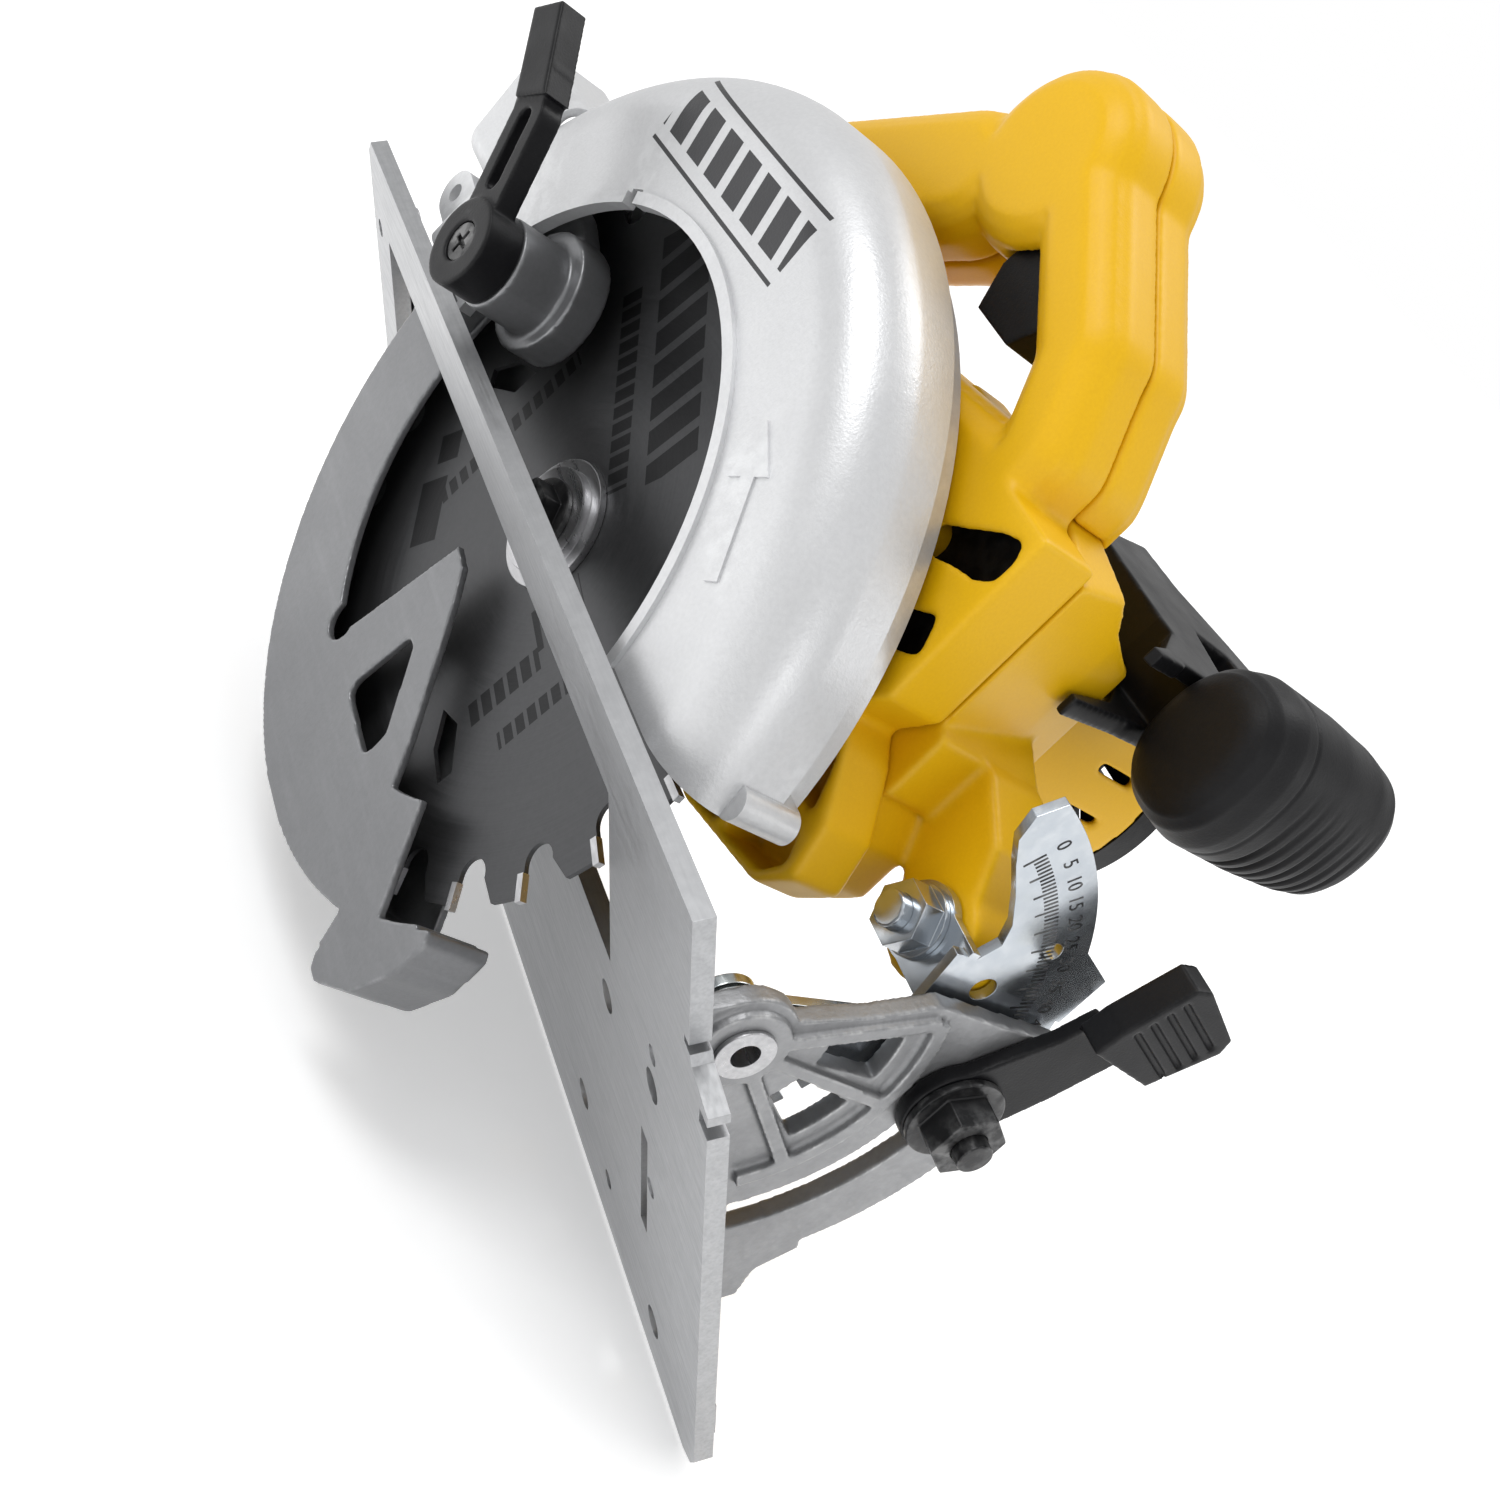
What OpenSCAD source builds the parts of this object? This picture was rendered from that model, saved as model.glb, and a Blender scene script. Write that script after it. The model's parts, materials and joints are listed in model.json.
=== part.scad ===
// Corded circular saw with a right-hand blade, shown fully lowered and bevelled.
// Frame: origin at the arbor centre on the blade mid-plane, +X forward,
// +Y towards the motor, +Z up, all in millimetres.

/* [Blade] */
// Blade diameter over the carbide tips
blade_d = 184; // [140:1:200]
// Thickness of the steel blade plate
blade_plate_t = 1.2; // [0.8:0.1:2]
// Width of the cut left by the tips
kerf = 1.8; // [1.4:0.1:3]
// Number of teeth
tooth_count = 24; // [12:1:48]
// Arbor hole diameter
arbor_d = 15.88; // [10:0.01:20]
// Diameter of the clamping flanges
flange_d = 32; // [26:1:36]

/* [Shoe] */
// Length of the shoe plate
shoe_len = 300; // [250:1:400]
// Width of the shoe plate
shoe_width = 175; // [140:1:230]
// Thickness of the shoe plate
shoe_t = 4.5; // [2:0.1:6]
// Blade line to the right edge of the shoe
rail_edge = 35; // [28:1:60]
// Depth of cut at zero bevel
cut_depth = 66; // [50:1:70]
// Shoe front edge ahead of the arbor
shoe_front = 159; // [156:1:200]
// Height of the bevel axis above the sole
bevel_axis_h = 12; // [12:0.5:16]
// Bevel axis to the left of the blade line
bevel_axis_y = 9; // [4:0.5:14]
// Bevel angle in the modelled position
bevel_angle = 48; // [0:1:50]

/* [Guards] */
// Wall of the upper guard casting
guard_wall = 2.5; // [2:0.1:3.2]
// Gap between the blade tips and the lower guard rim
rim_gap = 5.5; // [4:0.5:7]
// Wall of the lower guard
lower_wall = 2.2; // [1.6:0.1:2.8]
// Height of the upper guard edge above the arbor
guard_edge_z = 10.5; // [10:0.5:16]

/* [Motor] */
// Outside diameter of the motor barrel
barrel_d = 88; // [84:1:94]
// Length of the yellow motor housing
barrel_len = 122; // [118:1:150]
// Wall of the moulded housings
shell_wall = 2.5; // [2:0.1:3.2]
// Gear module
gear_module = 1.25;
// Teeth of the spindle gear
gear_teeth = 36;
// Teeth of the armature pinion
pinion_teeth = 9;

/* [Handles] */
// Width of the main handle
handle_w = 34; // [30:1:36]
// Length of the auxiliary grip
aux_len = 62; // [58:1:80]
// Diameter of the auxiliary grip ends
aux_d = 34; // [28:1:36]

/* [Fits] */
// Radial clearance of running fits
run_gap = 0.05; // [0.02:0.01:0.1]
// Gap between pieces that slide past each other
slide_gap = 0.4; // [0.3:0.1:0.6]

/* [Hidden] */
$fn = 64;
blade_r = blade_d / 2;
sole_z = -(blade_r - cut_depth);
shoe_top = sole_z + shoe_t;
axis_y = bevel_axis_y;
axis_z = sole_z + bevel_axis_h;
shoe_rear = shoe_front - shoe_len;
shoe_left = shoe_width - rail_edge;
rim_in = blade_r + rim_gap;
rim_out = rim_in + 2.5;
guard_in = rim_out + 7.5;
guard_out = guard_in + guard_wall;
guard_right = -20;
guard_back = 13.5;
guard_round = 16;
guard_lip_y = 5;
dust_z = 29;
cut_out_r = 71;
flange_r = flange_d / 2;
seam_y = 33;
pilot_r = arbor_d / 2 - run_gap;
gear_pitch_r = gear_module * gear_teeth / 2;
pinion_pitch_r = gear_module * pinion_teeth / 2;
mesh_angle = 68;
gear_tip_r = gear_pitch_r + 1.0;
case_in = gear_tip_r + 0.6;
case_out = case_in + 1.5;
motor_x = (gear_pitch_r + pinion_pitch_r) * cos(mesh_angle);
motor_z = (gear_pitch_r + pinion_pitch_r) * sin(mesh_angle);
barrel_r = barrel_d / 2;
barrel_end = seam_y + barrel_len;
handle_y = seam_y;
handle_y0 = handle_y - handle_w / 2;
handle_y1 = handle_y + handle_w / 2;
pivot_x = 121;
pivot_z = 14.5;
knuckle_r = 12;
ear_t = 2.5;
knuckle_y0 = 47;
knuckle_y1 = 65.5;
plate_x0 = pivot_x + knuckle_r + 0.5;
plate_x1 = plate_x0 + ear_t;
web_x0 = plate_x1 + 1.5;
web_x1 = web_x0 + 4.5;
bolt_r = 57.2;
bolt_angle = 5;
bolt_y = axis_y + bolt_r * cos(bolt_angle);
bolt_z = axis_z + bolt_r * sin(bolt_angle);
pin_r = 4;
lobe_r = bevel_axis_h - shoe_t - 0.4;
arc_y0 = 51;
arc_y1 = arc_y0 + ear_t;
depth_x = -62;
depth_z = 2;
depth_r = norm([depth_x - pivot_x, depth_z - pivot_z]);
rear_tab_x1 = shoe_rear + 19.5;
rear_tab_x0 = rear_tab_x1 - ear_t;
slot_x0 = shoe_rear + 20;
slot_x1 = 93;
boss_x = -46;
boss_z = 30;
grip_x = 104;
grip_z = 72;
grip_y0 = 82;
lock_y = 28.5;
lock_disc_r = 22;
lead = ceil(mesh_angle * gear_teeth / 360) * 360 / gear_teeth - mesh_angle;
pinion_phase = mesh_angle + 180 - lead * gear_teeth / pinion_teeth + 180 / pinion_teeth;

// Profile drawn in x and z, extruded between two y planes.
module slab_y(y0, y1) {
  translate([0, y1, 0]) rotate([90, 0, 0]) linear_extrude(y1 - y0) children();
}

// Profile drawn in y and z, extruded between two x planes.
module slab_x(x0, x1) {
  translate([x0, 0, 0]) rotate([90, 0, 90]) linear_extrude(x1 - x0) children();
}

// Profile drawn in x and y, extruded between two heights.
module slab_z(z0, z1) {
  translate([0, 0, z0]) linear_extrude(z1 - z0) children();
}

// Cylinder along y.
module rod_y(r, y0, y1) {
  translate([0, y0, 0]) rotate([-90, 0, 0]) cylinder(r = r, h = y1 - y0);
}

// Cylinder along x.
module rod_x(r, x0, x1) {
  translate([x0, 0, 0]) rotate([0, 90, 0]) cylinder(r = r, h = x1 - x0);
}

// Tube along y.
module tube_y(r_out, r_in, y0, y1) {
  difference() {
    rod_y(r_out, y0, y1);
    rod_y(r_in, y0 - 1, y1 + 1);
  }
}

// Hexagonal bar along y, given across the flats.
module hex_y(flats, y0, y1) {
  translate([0, y0, 0]) rotate([-90, 0, 0]) cylinder(r = flats / sqrt(3), h = y1 - y0, $fn = 6);
}

// Hexagonal bar along x, given across the flats.
module hex_x(flats, x0, x1) {
  translate([x0, 0, 0]) rotate([0, 90, 0]) cylinder(r = flats / sqrt(3), h = x1 - x0, $fn = 6);
}

// Rounded bar between two points in a plane.
module bar2(a, b, w) {
  dx = b[0] - a[0];
  dy = b[1] - a[1];
  translate(a) circle(r = w / 2 - 0.05);
  translate(b) circle(r = w / 2 - 0.05);
  translate(a) rotate(atan2(dy, dx)) translate([0, -w / 2]) square([norm([dx, dy]), w]);
}

// Wedge covering the angles from a0 to a1, at most 180 degrees.
module wedge2(a0, a1, r) {
  am = (a0 + a1) / 2;
  b0 = am - (am - a0) / 2;
  b1 = am + (am - a0) / 2;
  polygon([[0, 0], [r * cos(a0), r * sin(a0)], [2 * r * cos(b0), 2 * r * sin(b0)],
    [3 * r * cos(am), 3 * r * sin(am)], [2 * r * cos(b1), 2 * r * sin(b1)],
    [r * cos(a1), r * sin(a1)]]);
}

// Turns a shoe piece from zero bevel into the modelled bevel.
module bevelled() {
  translate([0, axis_y, axis_z]) rotate([-bevel_angle, 0, 0]) translate([0, -axis_y, -axis_z]) children();
}

// Sealed ball bearing along y, its seals set back from the rings.
module bearing(r_out, r_in, y0, y1) {
  wall = (r_out - r_in) * 0.28;
  difference() {
    tube_y(r_out, r_in, y0, y1);
    tube_y(r_out - wall, r_in + wall, y0 - 1, y0 + 0.8);
    tube_y(r_out - wall, r_in + wall, y1 - 0.8, y1 + 1);
  }
}

// Spur gear outline.
module gear2(teeth, root_r, tip_r, half) {
  circle(r = root_r);
  for (i = [0 : teeth - 1]) rotate(i * 360 / teeth)
    polygon([[root_r - 0.6, -half * 1.5], [(root_r + tip_r) / 2, -half], [tip_r, -half * 0.5],
      [tip_r, half * 0.5], [(root_r + tip_r) / 2, half], [root_r - 0.6, half * 1.5]]);
}

// ---- upper guard and arbor ----

// Half profile of the guard drum, moved inwards by t.
module guard_profile(t, back) {
  square_w = guard_out - guard_round;
  translate([0, guard_right + t]) square([square_w, back - guard_right - t]);
  translate([0, guard_right + guard_round])
    square([guard_out - t, guard_lip_y - t - guard_right - guard_round]);
  translate([0, guard_right + guard_round]) square([guard_out - 5 - t, back - guard_right - guard_round]);
  translate([square_w, guard_right + guard_round]) circle(r = guard_round - t);
}

module guard_drum(t, back) {
  rotate([-90, 0, 0]) rotate_extrude($fn = 128) intersection() {
    guard_profile(t, back);
    translate([0, -60]) square([200, 120]);
  }
}

module c_opening2(grow) {
  intersection() {
    circle(r = cut_out_r + grow, $fn = 128);
    translate([-61 - grow, guard_edge_z - 2]) square([200, 100]);
  }
}

module dust_tube2(t) {
  for (y = [-12.5, 1.5], z = [dust_z + 6.5, dust_z + 26.5]) translate([y, z]) circle(r = 6.5 - t);
  translate([-12.5, dust_z + t + 0.05]) square([14, 33 - 2 * t - 0.1]);
  translate([-19 + t + 0.05, dust_z + 6.5]) square([27 - 2 * t - 0.1, 20]);
}

module retainer_pattern(r) {
  for (a = [90, 210, 330]) rotate(a) translate([21.5, 0]) circle(r = r);
}

module guard_screw_pattern(r) {
  translate([-26, 42]) circle(r = r);
  translate([62, 36]) circle(r = r);
  translate([20, 72]) circle(r = r);
}

module upper_guard() {
  color([0.78, 0.79, 0.8]) difference() {
    union() {
      difference() {
        union() {
          guard_drum(0, guard_back);
          slab_x(-guard_out - 7, -guard_out * 0.8) dust_tube2(0);
          // Rear ear with the cord hook hole
          slab_y(guard_right + 6, guard_right + 10) bar2([-guard_out + 6, 18], [-guard_out - 3, 19], 13);
          // Front tail bead
          slab_y(-6, guard_back - 4)
            bar2([guard_out - 6, guard_edge_z + 4], [guard_out - 1, guard_edge_z + 4], 8);
        }
        guard_drum(guard_wall, guard_back - 3);
        translate([-300, -100, guard_edge_z - 200]) cube([600, 200, 200]);
        slab_y(guard_right - 5, guard_right + 6) c_opening2(0);
        slab_x(-guard_out - 20, -guard_out * 0.75) dust_tube2(2.2);
        slab_y(guard_right, guard_right + 20) translate([-guard_out - 3, 19]) circle(r = 2.5);
      }
      // Lip around the viewing opening
      slab_y(guard_right - 1.2, guard_right + 2) difference() {
        intersection() {
          c_opening2(3);
          translate([-100, guard_edge_z]) square([200, 100]);
        }
        c_opening2(0);
      }
      // Hub disc of the back wall
      slab_y(guard_back - 3, guard_back) circle(r = case_out);
      // Rotation arrow
      slab_y(guard_right - 0.5, guard_right + 1) rotate(38) translate([84, 0])
        polygon([[-2, -17], [2, -17], [2, 5], [6, 5], [0, 17], [-6, 5], [-2, 5]]);
    }
    rod_y(16, 5, 20);
    slab_y(5, 20) retainer_pattern(2);
    slab_y(5, 20) guard_screw_pattern(2.2);
    // Small notch in the lip
    slab_y(guard_right - 5, guard_right + 4) rotate(119) translate([cut_out_r - 2, -2]) square([6, 4]);
  }
}

module bearing_retainer() {
  color([0.6, 0.61, 0.63]) difference() {
    union() {
      rod_y(25, 8.3, guard_back - 3);
      rod_y(19, 6.2, 9);
    }
    rod_y(13, 0, 20);
    slab_y(5, 20) retainer_pattern(2);
  }
}

module retainer_screws() {
  color([0.35, 0.35, 0.37]) difference() {
    slab_y(8.3, 19) retainer_pattern(2);
    for (a = [90, 210, 330]) rotate([0, -a, 0]) translate([20.4, 7, -0.4]) cube([2.2, 2.2, 0.8]);
  }
}

module spindle_bearing_front() {
  color([0.7, 0.71, 0.73]) bearing(16, 6 + run_gap, 10.5, 20);
}

module spindle_bearing_rear() {
  color([0.7, 0.71, 0.73]) bearing(11, pin_r + run_gap, seam_y + 2, seam_y + 9);
}

module guard_spring() {
  color([0.5, 0.5, 0.52]) translate([0, 9.4, 0]) rotate([-90, 0, 0]) rotate_extrude()
    translate([25.7, 0]) circle(r = 0.7, $fn = 20);
}

module spindle() {
  color([0.62, 0.62, 0.64]) difference() {
    union() {
      rod_y(pilot_r, -2.5, 8);
      rod_y(6, 7, seam_y);
      rod_y(4, seam_y - 1, seam_y + 8.8);
    }
    rod_y(pin_r, -3, 15);
    translate([-2, 22.5, 4.2]) cube([4, 8.5, 4]);
  }
}

module gear_key() {
  color([0.4, 0.4, 0.42]) translate([-2, 22.5, 4.2]) cube([4, 8.5, 3.4]);
}

module drive_gear() {
  color([0.45, 0.45, 0.47]) difference() {
    union() {
      slab_y(22, 29.2) gear2(gear_teeth, gear_pitch_r - 1.45, gear_tip_r, gear_module * 0.72);
      slab_y(29, 32) difference() {
        circle(r = lock_disc_r - 0.6);
        // Notches for the spindle lock plunger
        for (a = [0 : 90 : 270]) rotate(a) translate([lock_disc_r - 4, -1.5]) square([6, 3]);
      }
    }
    rod_y(6, 20, 34);
    translate([-2, 20, 0]) cube([4, 14, 7.6]);
    for (a = [0 : 60 : 300]) rotate([0, a, 0]) translate([13.5, 0, 0]) rod_y(2.6, 20, 34);
  }
}

module inner_flange() {
  color([0.55, 0.55, 0.57]) difference() {
    rod_y(flange_r, blade_plate_t / 2, 5.6);
    rod_y(pilot_r, 0, 8);
    tube_y(flange_r - 4, pilot_r + 2, 0, blade_plate_t / 2 + 0.6);
  }
}

module outer_flange() {
  color([0.66, 0.66, 0.68]) difference() {
    union() {
      rod_y(flange_r, -2.6, -blade_plate_t / 2);
      rod_y(flange_r - 3, -5, -1);
    }
    rod_y(pilot_r, -2.5, 1);
    rod_y(pin_r, -9, 1);
    tube_y(flange_r - 4, pilot_r + 2, -blade_plate_t / 2 - 0.6, 1);
  }
}

module blade_bolt() {
  color([0.2, 0.2, 0.21]) {
    rod_y(9.5, -6.6, -5);
    hex_y(13, -11.5, -6);
    rod_y(pin_r, -6, 14);
  }
}

module tip_seats2() {
  for (i = [0 : tooth_count - 1]) rotate(i * 360 / tooth_count)
    translate([blade_r - 6.5, -0.6]) square([6.5, 1.8]);
}

module gullet2() {
  k = 24 / tooth_count;
  translate([blade_r - 8, 5.6 * k]) circle(r = 4.4 * k, $fn = 32);
  polygon([[blade_r - 8, 1.2], [blade_r + 4, 1.2], [blade_r + 4, 15 * k], [blade_r - 2.2, 15 * k],
    [blade_r - 8, 10 * k]]);
}

module blade2() {
  difference() {
    circle(r = blade_r - 1.2, $fn = 180);
    circle(r = arbor_d / 2);
    for (i = [0 : tooth_count - 1]) rotate(i * 360 / tooth_count) gullet2();
    tip_seats2();
    // Expansion slots and slanted vents
    for (i = [0 : 3]) rotate(i * 90 + 5) {
      translate([blade_r - 24, 4]) square([18, 1]);
      translate([blade_r - 24, 4.5]) circle(r = 2.2, $fn = 24);
    }
    for (i = [0 : 2]) rotate(i * 120 + 55)
      polygon([[blade_r - 42, -7], [blade_r - 33, -3], [blade_r - 27, 5], [blade_r - 31, 8],
        [blade_r - 41, 1]]);
  }
}

module blade() {
  color([0.42, 0.42, 0.43]) slab_y(-blade_plate_t / 2, blade_plate_t / 2) blade2();
}

module carbide_tips() {
  color([0.3, 0.3, 0.31]) slab_y(-kerf / 2, kerf / 2) tip_seats2();
}

// ---- lower guard ----

module lower_arc2(r_out, r_in) {
  difference() {
    intersection() {
      circle(r = r_out, $fn = 128);
      union() {
        wedge2(-213, -130, r_out);
        wedge2(-135, -52, r_out);
      }
    }
    circle(r = r_in, $fn = 128);
  }
}

// Four points joined by round-ended bars of width w and filled between them.
module rounded4(a, b, c, d, w) {
  polygon([a, b, c, d]);
  bar2(a, b, w);
  bar2(b, c, w);
  bar2(c, d, w);
  bar2(d, a, w);
}

module lower_spoke2() {
  difference() {
    polygon([[-12, -22], [-5, -23], [2, -29], [9, -36.5], [17, -45], [25, -53.5], [31, -61.5], [36, -69],
      [41, -75.5], [48, -80], [56, -83], [20, -88], [-20, -88], [-34, -66], [-24, -60], [-18, -41]]);
    rounded4([0, -47], [-4, -64], [13, -65], [13.5, -61], 6);
  }
}

module lower_guard() {
  right = -9.5;
  left = 8;
  color([0.5, 0.51, 0.53]) difference() {
    union() {
      slab_y(right, right + lower_wall) lower_arc2(rim_out, 70);
      slab_y(right, right + lower_wall) lower_spoke2();
      slab_y(right, left) lower_arc2(rim_out, rim_in);
      slab_y(left - 2, left) lower_arc2(rim_out, 15);
      slab_y(left - 2, left) circle(r = 26);
      // Thick lip at the front end
      slab_y(right, left) difference() {
        circle(r = rim_out, $fn = 128);
        circle(r = rim_in, $fn = 128);
        rotate(-43) translate([-200, 0]) square([400, 200]);
        rotate(-56) translate([-200, -200]) square([400, 200]);
      }
      slab_y(right, left) difference() {
        union() {
          polygon([[46, -80], [51, -96], [57, -96], [66, -88], [72, -76], [72.5, -66], [68, -60]]);
          bar2([57, -96], [66, -88], 10);
          bar2([66, -88], [71.6, -76], 10.6);
          bar2([71.6, -76], [72.5, -68], 10);
        }
        circle(r = rim_out - 1.3, $fn = 128);
      }
      // Boss carrying the retracting lever
      slab_y(-12.5, right + lower_wall) bar2([boss_x, boss_z], [boss_x - 17, boss_z + 5], 25);
      translate([boss_x, 0, boss_z]) rod_y(15.5, -17, -8);
      translate([boss_x, 0, boss_z]) rod_y(11.5, -31, -16);
    }
    rod_y(19 + 0.3, 0, 20);
    // Round end of the large window
    translate([-29, 0, -62.5]) rod_y(5.2, right - 1, right + lower_wall + 1);
    translate([boss_x, 0, boss_z]) rod_y(2.5, -32, -15);
  }
}

module guard_lever() {
  color([0.08, 0.08, 0.08]) difference() {
    union() {
      translate([boss_x, 0, boss_z]) rod_y(11, -41, -31);
      slab_y(-40, -34) bar2([boss_x - 2, boss_z + 4], [boss_x - 15, boss_z + 28], 13);
      slab_y(-40, -34) bar2([boss_x - 15, boss_z + 28], [boss_x - 22, boss_z + 36], 12);
      slab_y(-41.5, -34) polygon([[boss_x - 42, boss_z + 44], [boss_x - 33, boss_z + 51],
        [boss_x - 12, boss_z + 36], [boss_x - 22, boss_z + 29]]);
    }
    translate([boss_x, 0, boss_z]) rod_y(2.5, -50, -30);
    translate([boss_x, 0, boss_z]) rod_y(5, -50, -38);
    slab_y(-45, -30) bar2([boss_x - 7.5, boss_z + 14], [boss_x - 15, boss_z + 28], 4.6);
  }
}

module lever_screw() {
  color([0.2, 0.2, 0.2]) translate([boss_x, 0, boss_z]) difference() {
    union() {
      rod_y(4.8, -40.5, -38);
      rod_y(2.5, -38.5, -18);
    }
    translate([-3, -42, -0.6]) cube([6, 2.6, 1.2]);
    translate([-0.6, -42, -3]) cube([1.2, 2.6, 6]);
  }
}

// ---- housings and handles ----

// Side outline of the looped handle, widened by g on each side.
module handle2(g) {
  bar2([-93, 60], [-46, 90], 28 + 2 * g);
  bar2([-46, 90], [-6, 118], 32 + 2 * g);
  translate([14, 134]) circle(r = 22 + g);
  bar2([18, 140], [60, 113.5], 22 + 2 * g);
  bar2([60, 113.5], [72, 95], 21 + 2 * g);
  bar2([72, 95], [73, 78], 20 + 2 * g);
  bar2([-84, 54], [66, 80], 30 + 2 * g);
}

// Solid half handle between its outer face and the seam, in steps that round the edge.
module handle_half(side, t) {
  y_face = side < 0 ? handle_y0 : handle_y1;
  for (s = [[-6, 0], [-3.4, 1.2], [-1.4, 3.2], [0, 6.5]]) {
    a = side < 0 ? y_face + s[1] + t : seam_y;
    b = side < 0 ? seam_y : y_face - s[1] - t;
    slab_y(a, b) handle2(s[0] - t);
  }
}

// Side outline of the front nose of the motor housing, moved inwards by t.
module nose2(t) {
  polygon([[30 + t, -8 + 2 * t], [58 - t, 2 + 1.2 * t], [97 - t, 46], [97 - t, 84 - t], [80 - t, 90 - t],
    [30 + t, 90 - t]]);
}

// Plan of the nose, tapering towards the motor end.
module nose_plan2(t) {
  polygon([[20, seam_y], [97 - t, seam_y], [90 - t, 60], [84 - t, 76], [60 - t, 102 - t], [20, 102 - t]]);
}

// Side view of the nose, its top falling away towards the motor end.
module nose_side2(t) {
  polygon([[seam_y - 1, -20], [seam_y - 1, 96 - t], [44, 90 - t], [58, 78 - t], [76, 70 - t],
    [104, 64 - t], [104, -20]]);
}

module nose(t) {
  intersection() {
    slab_y(seam_y, 110) nose2(t);
    slab_z(-20, 100) nose_plan2(t);
    slab_x(20, 100) nose_side2(t);
  }
}

module barrel(t, y0, y1) {
  translate([motor_x, 0, motor_z]) rod_y(barrel_r - t, y0, y1);
}

module motor_envelope() {
  barrel(0, seam_y - 1, barrel_end);
  translate([0, -1, 0]) nose(0);
  nose(0);
}

// Side cover outline of the right housing, moved inwards by t.
module cover2(t) {
  polygon([[-33 + t, 14 + t], [-33 + t, 62 - t], [10, 80 - t], [58, 88 - t], [97 - t, 88 - t], [97 - t, 44],
    [84 - t, 28 + t], [34, -6 + t], [20, 6 + t]]);
}

module arm2(t) {
  polygon([[62, 46 - t], [103, 43 - t], [118 - t, 36 - t], [126 - t, 24 - t], [pivot_x, pivot_z], [112, 8 + t],
    [96, 24 + t], [62, 22 + t]]);
}

module lower_web2() {
  polygon([[30, 0], [60, -6.5], [72, -10], [104, -3], [112, 6], [108, 18], [96, 30], [80, 40], [30, 30]]);
}

module housing_screw_pattern(r) {
  translate([-24, 24]) circle(r = r);
  translate([-14, 52]) circle(r = r);
  translate([72, 18]) circle(r = r);
  translate([64, 66]) circle(r = r);
}

module right_housing() {
  color([0.95, 0.72, 0.05]) difference() {
    union() {
      difference() {
        union() {
          handle_half(-1, 0);
          slab_y(handle_y0, seam_y) cover2(0);
          slab_y(18, seam_y) lower_web2();
          rod_y(case_out, guard_back, seam_y);
        }
        handle_cavity_right();
        difference() {
          slab_y(handle_y0 + shell_wall, seam_y + 1) cover2(shell_wall);
          rod_y(case_out, 0, 60);
          slab_y(18, seam_y) lower_web2();
          screw_posts(seam_y);
          slab_y(0, 60) guard_screw_pattern(4.6);
        }
        // Pockets between the ribs of the lower web
        slab_y(16, seam_y - 3) polygon([[73, -7], [84, -4.5], [84, 10], [76, 10]]);
        slab_y(16, seam_y - 3) polygon([[87, -4.5], [103, -0.5], [107, 6], [103, 12], [87, 10]]);
        slab_y(16, seam_y - 3) polygon([[58, -3], [68, -5], [66, 8], [58, 5]]);
        slab_y(16, seam_y - 3) polygon([[87, 14], [102, 16], [96, 26], [87, 32]]);
        // Cooling openings facing the guard
        slab_y(0, handle_y0 + 9) polygon([[71, 71], [78, 75.5], [86, 81], [92, 83.5], [94.2, 80], [94, 75],
          [90, 71.5], [83, 69.5], [76, 66.5]]);
        slab_y(0, handle_y0 + 9) polygon([[78, 54], [90, 61], [94, 53.5], [82, 47]]);
        slab_y(0, handle_y0 + 9) polygon([[78, 42.5], [88, 46], [90.5, 40.5], [81, 37]]);
      }
      slab_y(guard_back, seam_y) difference() {
        guard_screw_pattern(4.6);
        circle(r = case_out);
      }
    }
    rod_y(case_in, 21, seam_y + 1);
    rod_y(16, 0, 20);
    rod_y(10, 15, 30);
    translate([motor_x, 0, motor_z]) rod_y(9.2, 20.5, seam_y + 1);
    slab_y(5, 20) retainer_pattern(2);
    slab_y(5, 28) guard_screw_pattern(2.2);
    slab_y(21, seam_y + 1) housing_screw_pattern(2);
    slab_y(handle_y0 + 4, seam_y + 1) handle_screw_pattern(2);
    trigger_window();
    trigger_bore();
    // Bore and recess of the spindle lock plunger
    translate([0, lock_y, 0]) rod_x(3 + run_gap, -60, -20);
    translate([0, lock_y, 0]) rod_x(7.4, -60, -31);
    cord_bore();
  }
}

module handle_cavity_right() {
  slab_y(handle_y0 + shell_wall + 5, seam_y + 1) difference() {
    handle_core2();
    handle_screw_pattern(5);
  }
}

// Hollow of the handle, kept clear of the outline by the wall.
module handle_core2() {
  w = 2 * shell_wall;
  bar2([-91, 61], [-46, 90], 28 - w - 3);
  bar2([-46, 90], [-6, 118], 32 - w - 3);
  translate([14, 134]) circle(r = 22 - shell_wall - 1.5);
  bar2([18, 140], [60, 113.5], 22 - w - 1);
}

module handle_screw_pattern(r) {
  translate([-92, 61]) circle(r = r);
  translate([-26, 104]) circle(r = r);
  translate([65, 106]) circle(r = r);
}

module screw_posts(y1) {
  slab_y(15, y1) housing_screw_pattern(4.6);
}

module trigger_window() {
  slab_y(handle_y - 10.4, handle_y + 10.4) polygon([[20, 100], [50, 100], [52, 118], [46, 130], [20, 132]]);
}

module trigger_bore() {
  translate([39, 0, 121]) rod_y(2.6 + run_gap, handle_y - 13.4, handle_y + 13.4);
}

module cord_bore() {
  translate([-98, handle_y, 60]) rotate([0, -70, 0]) cylinder(r = 6, h = 60);
}

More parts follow.
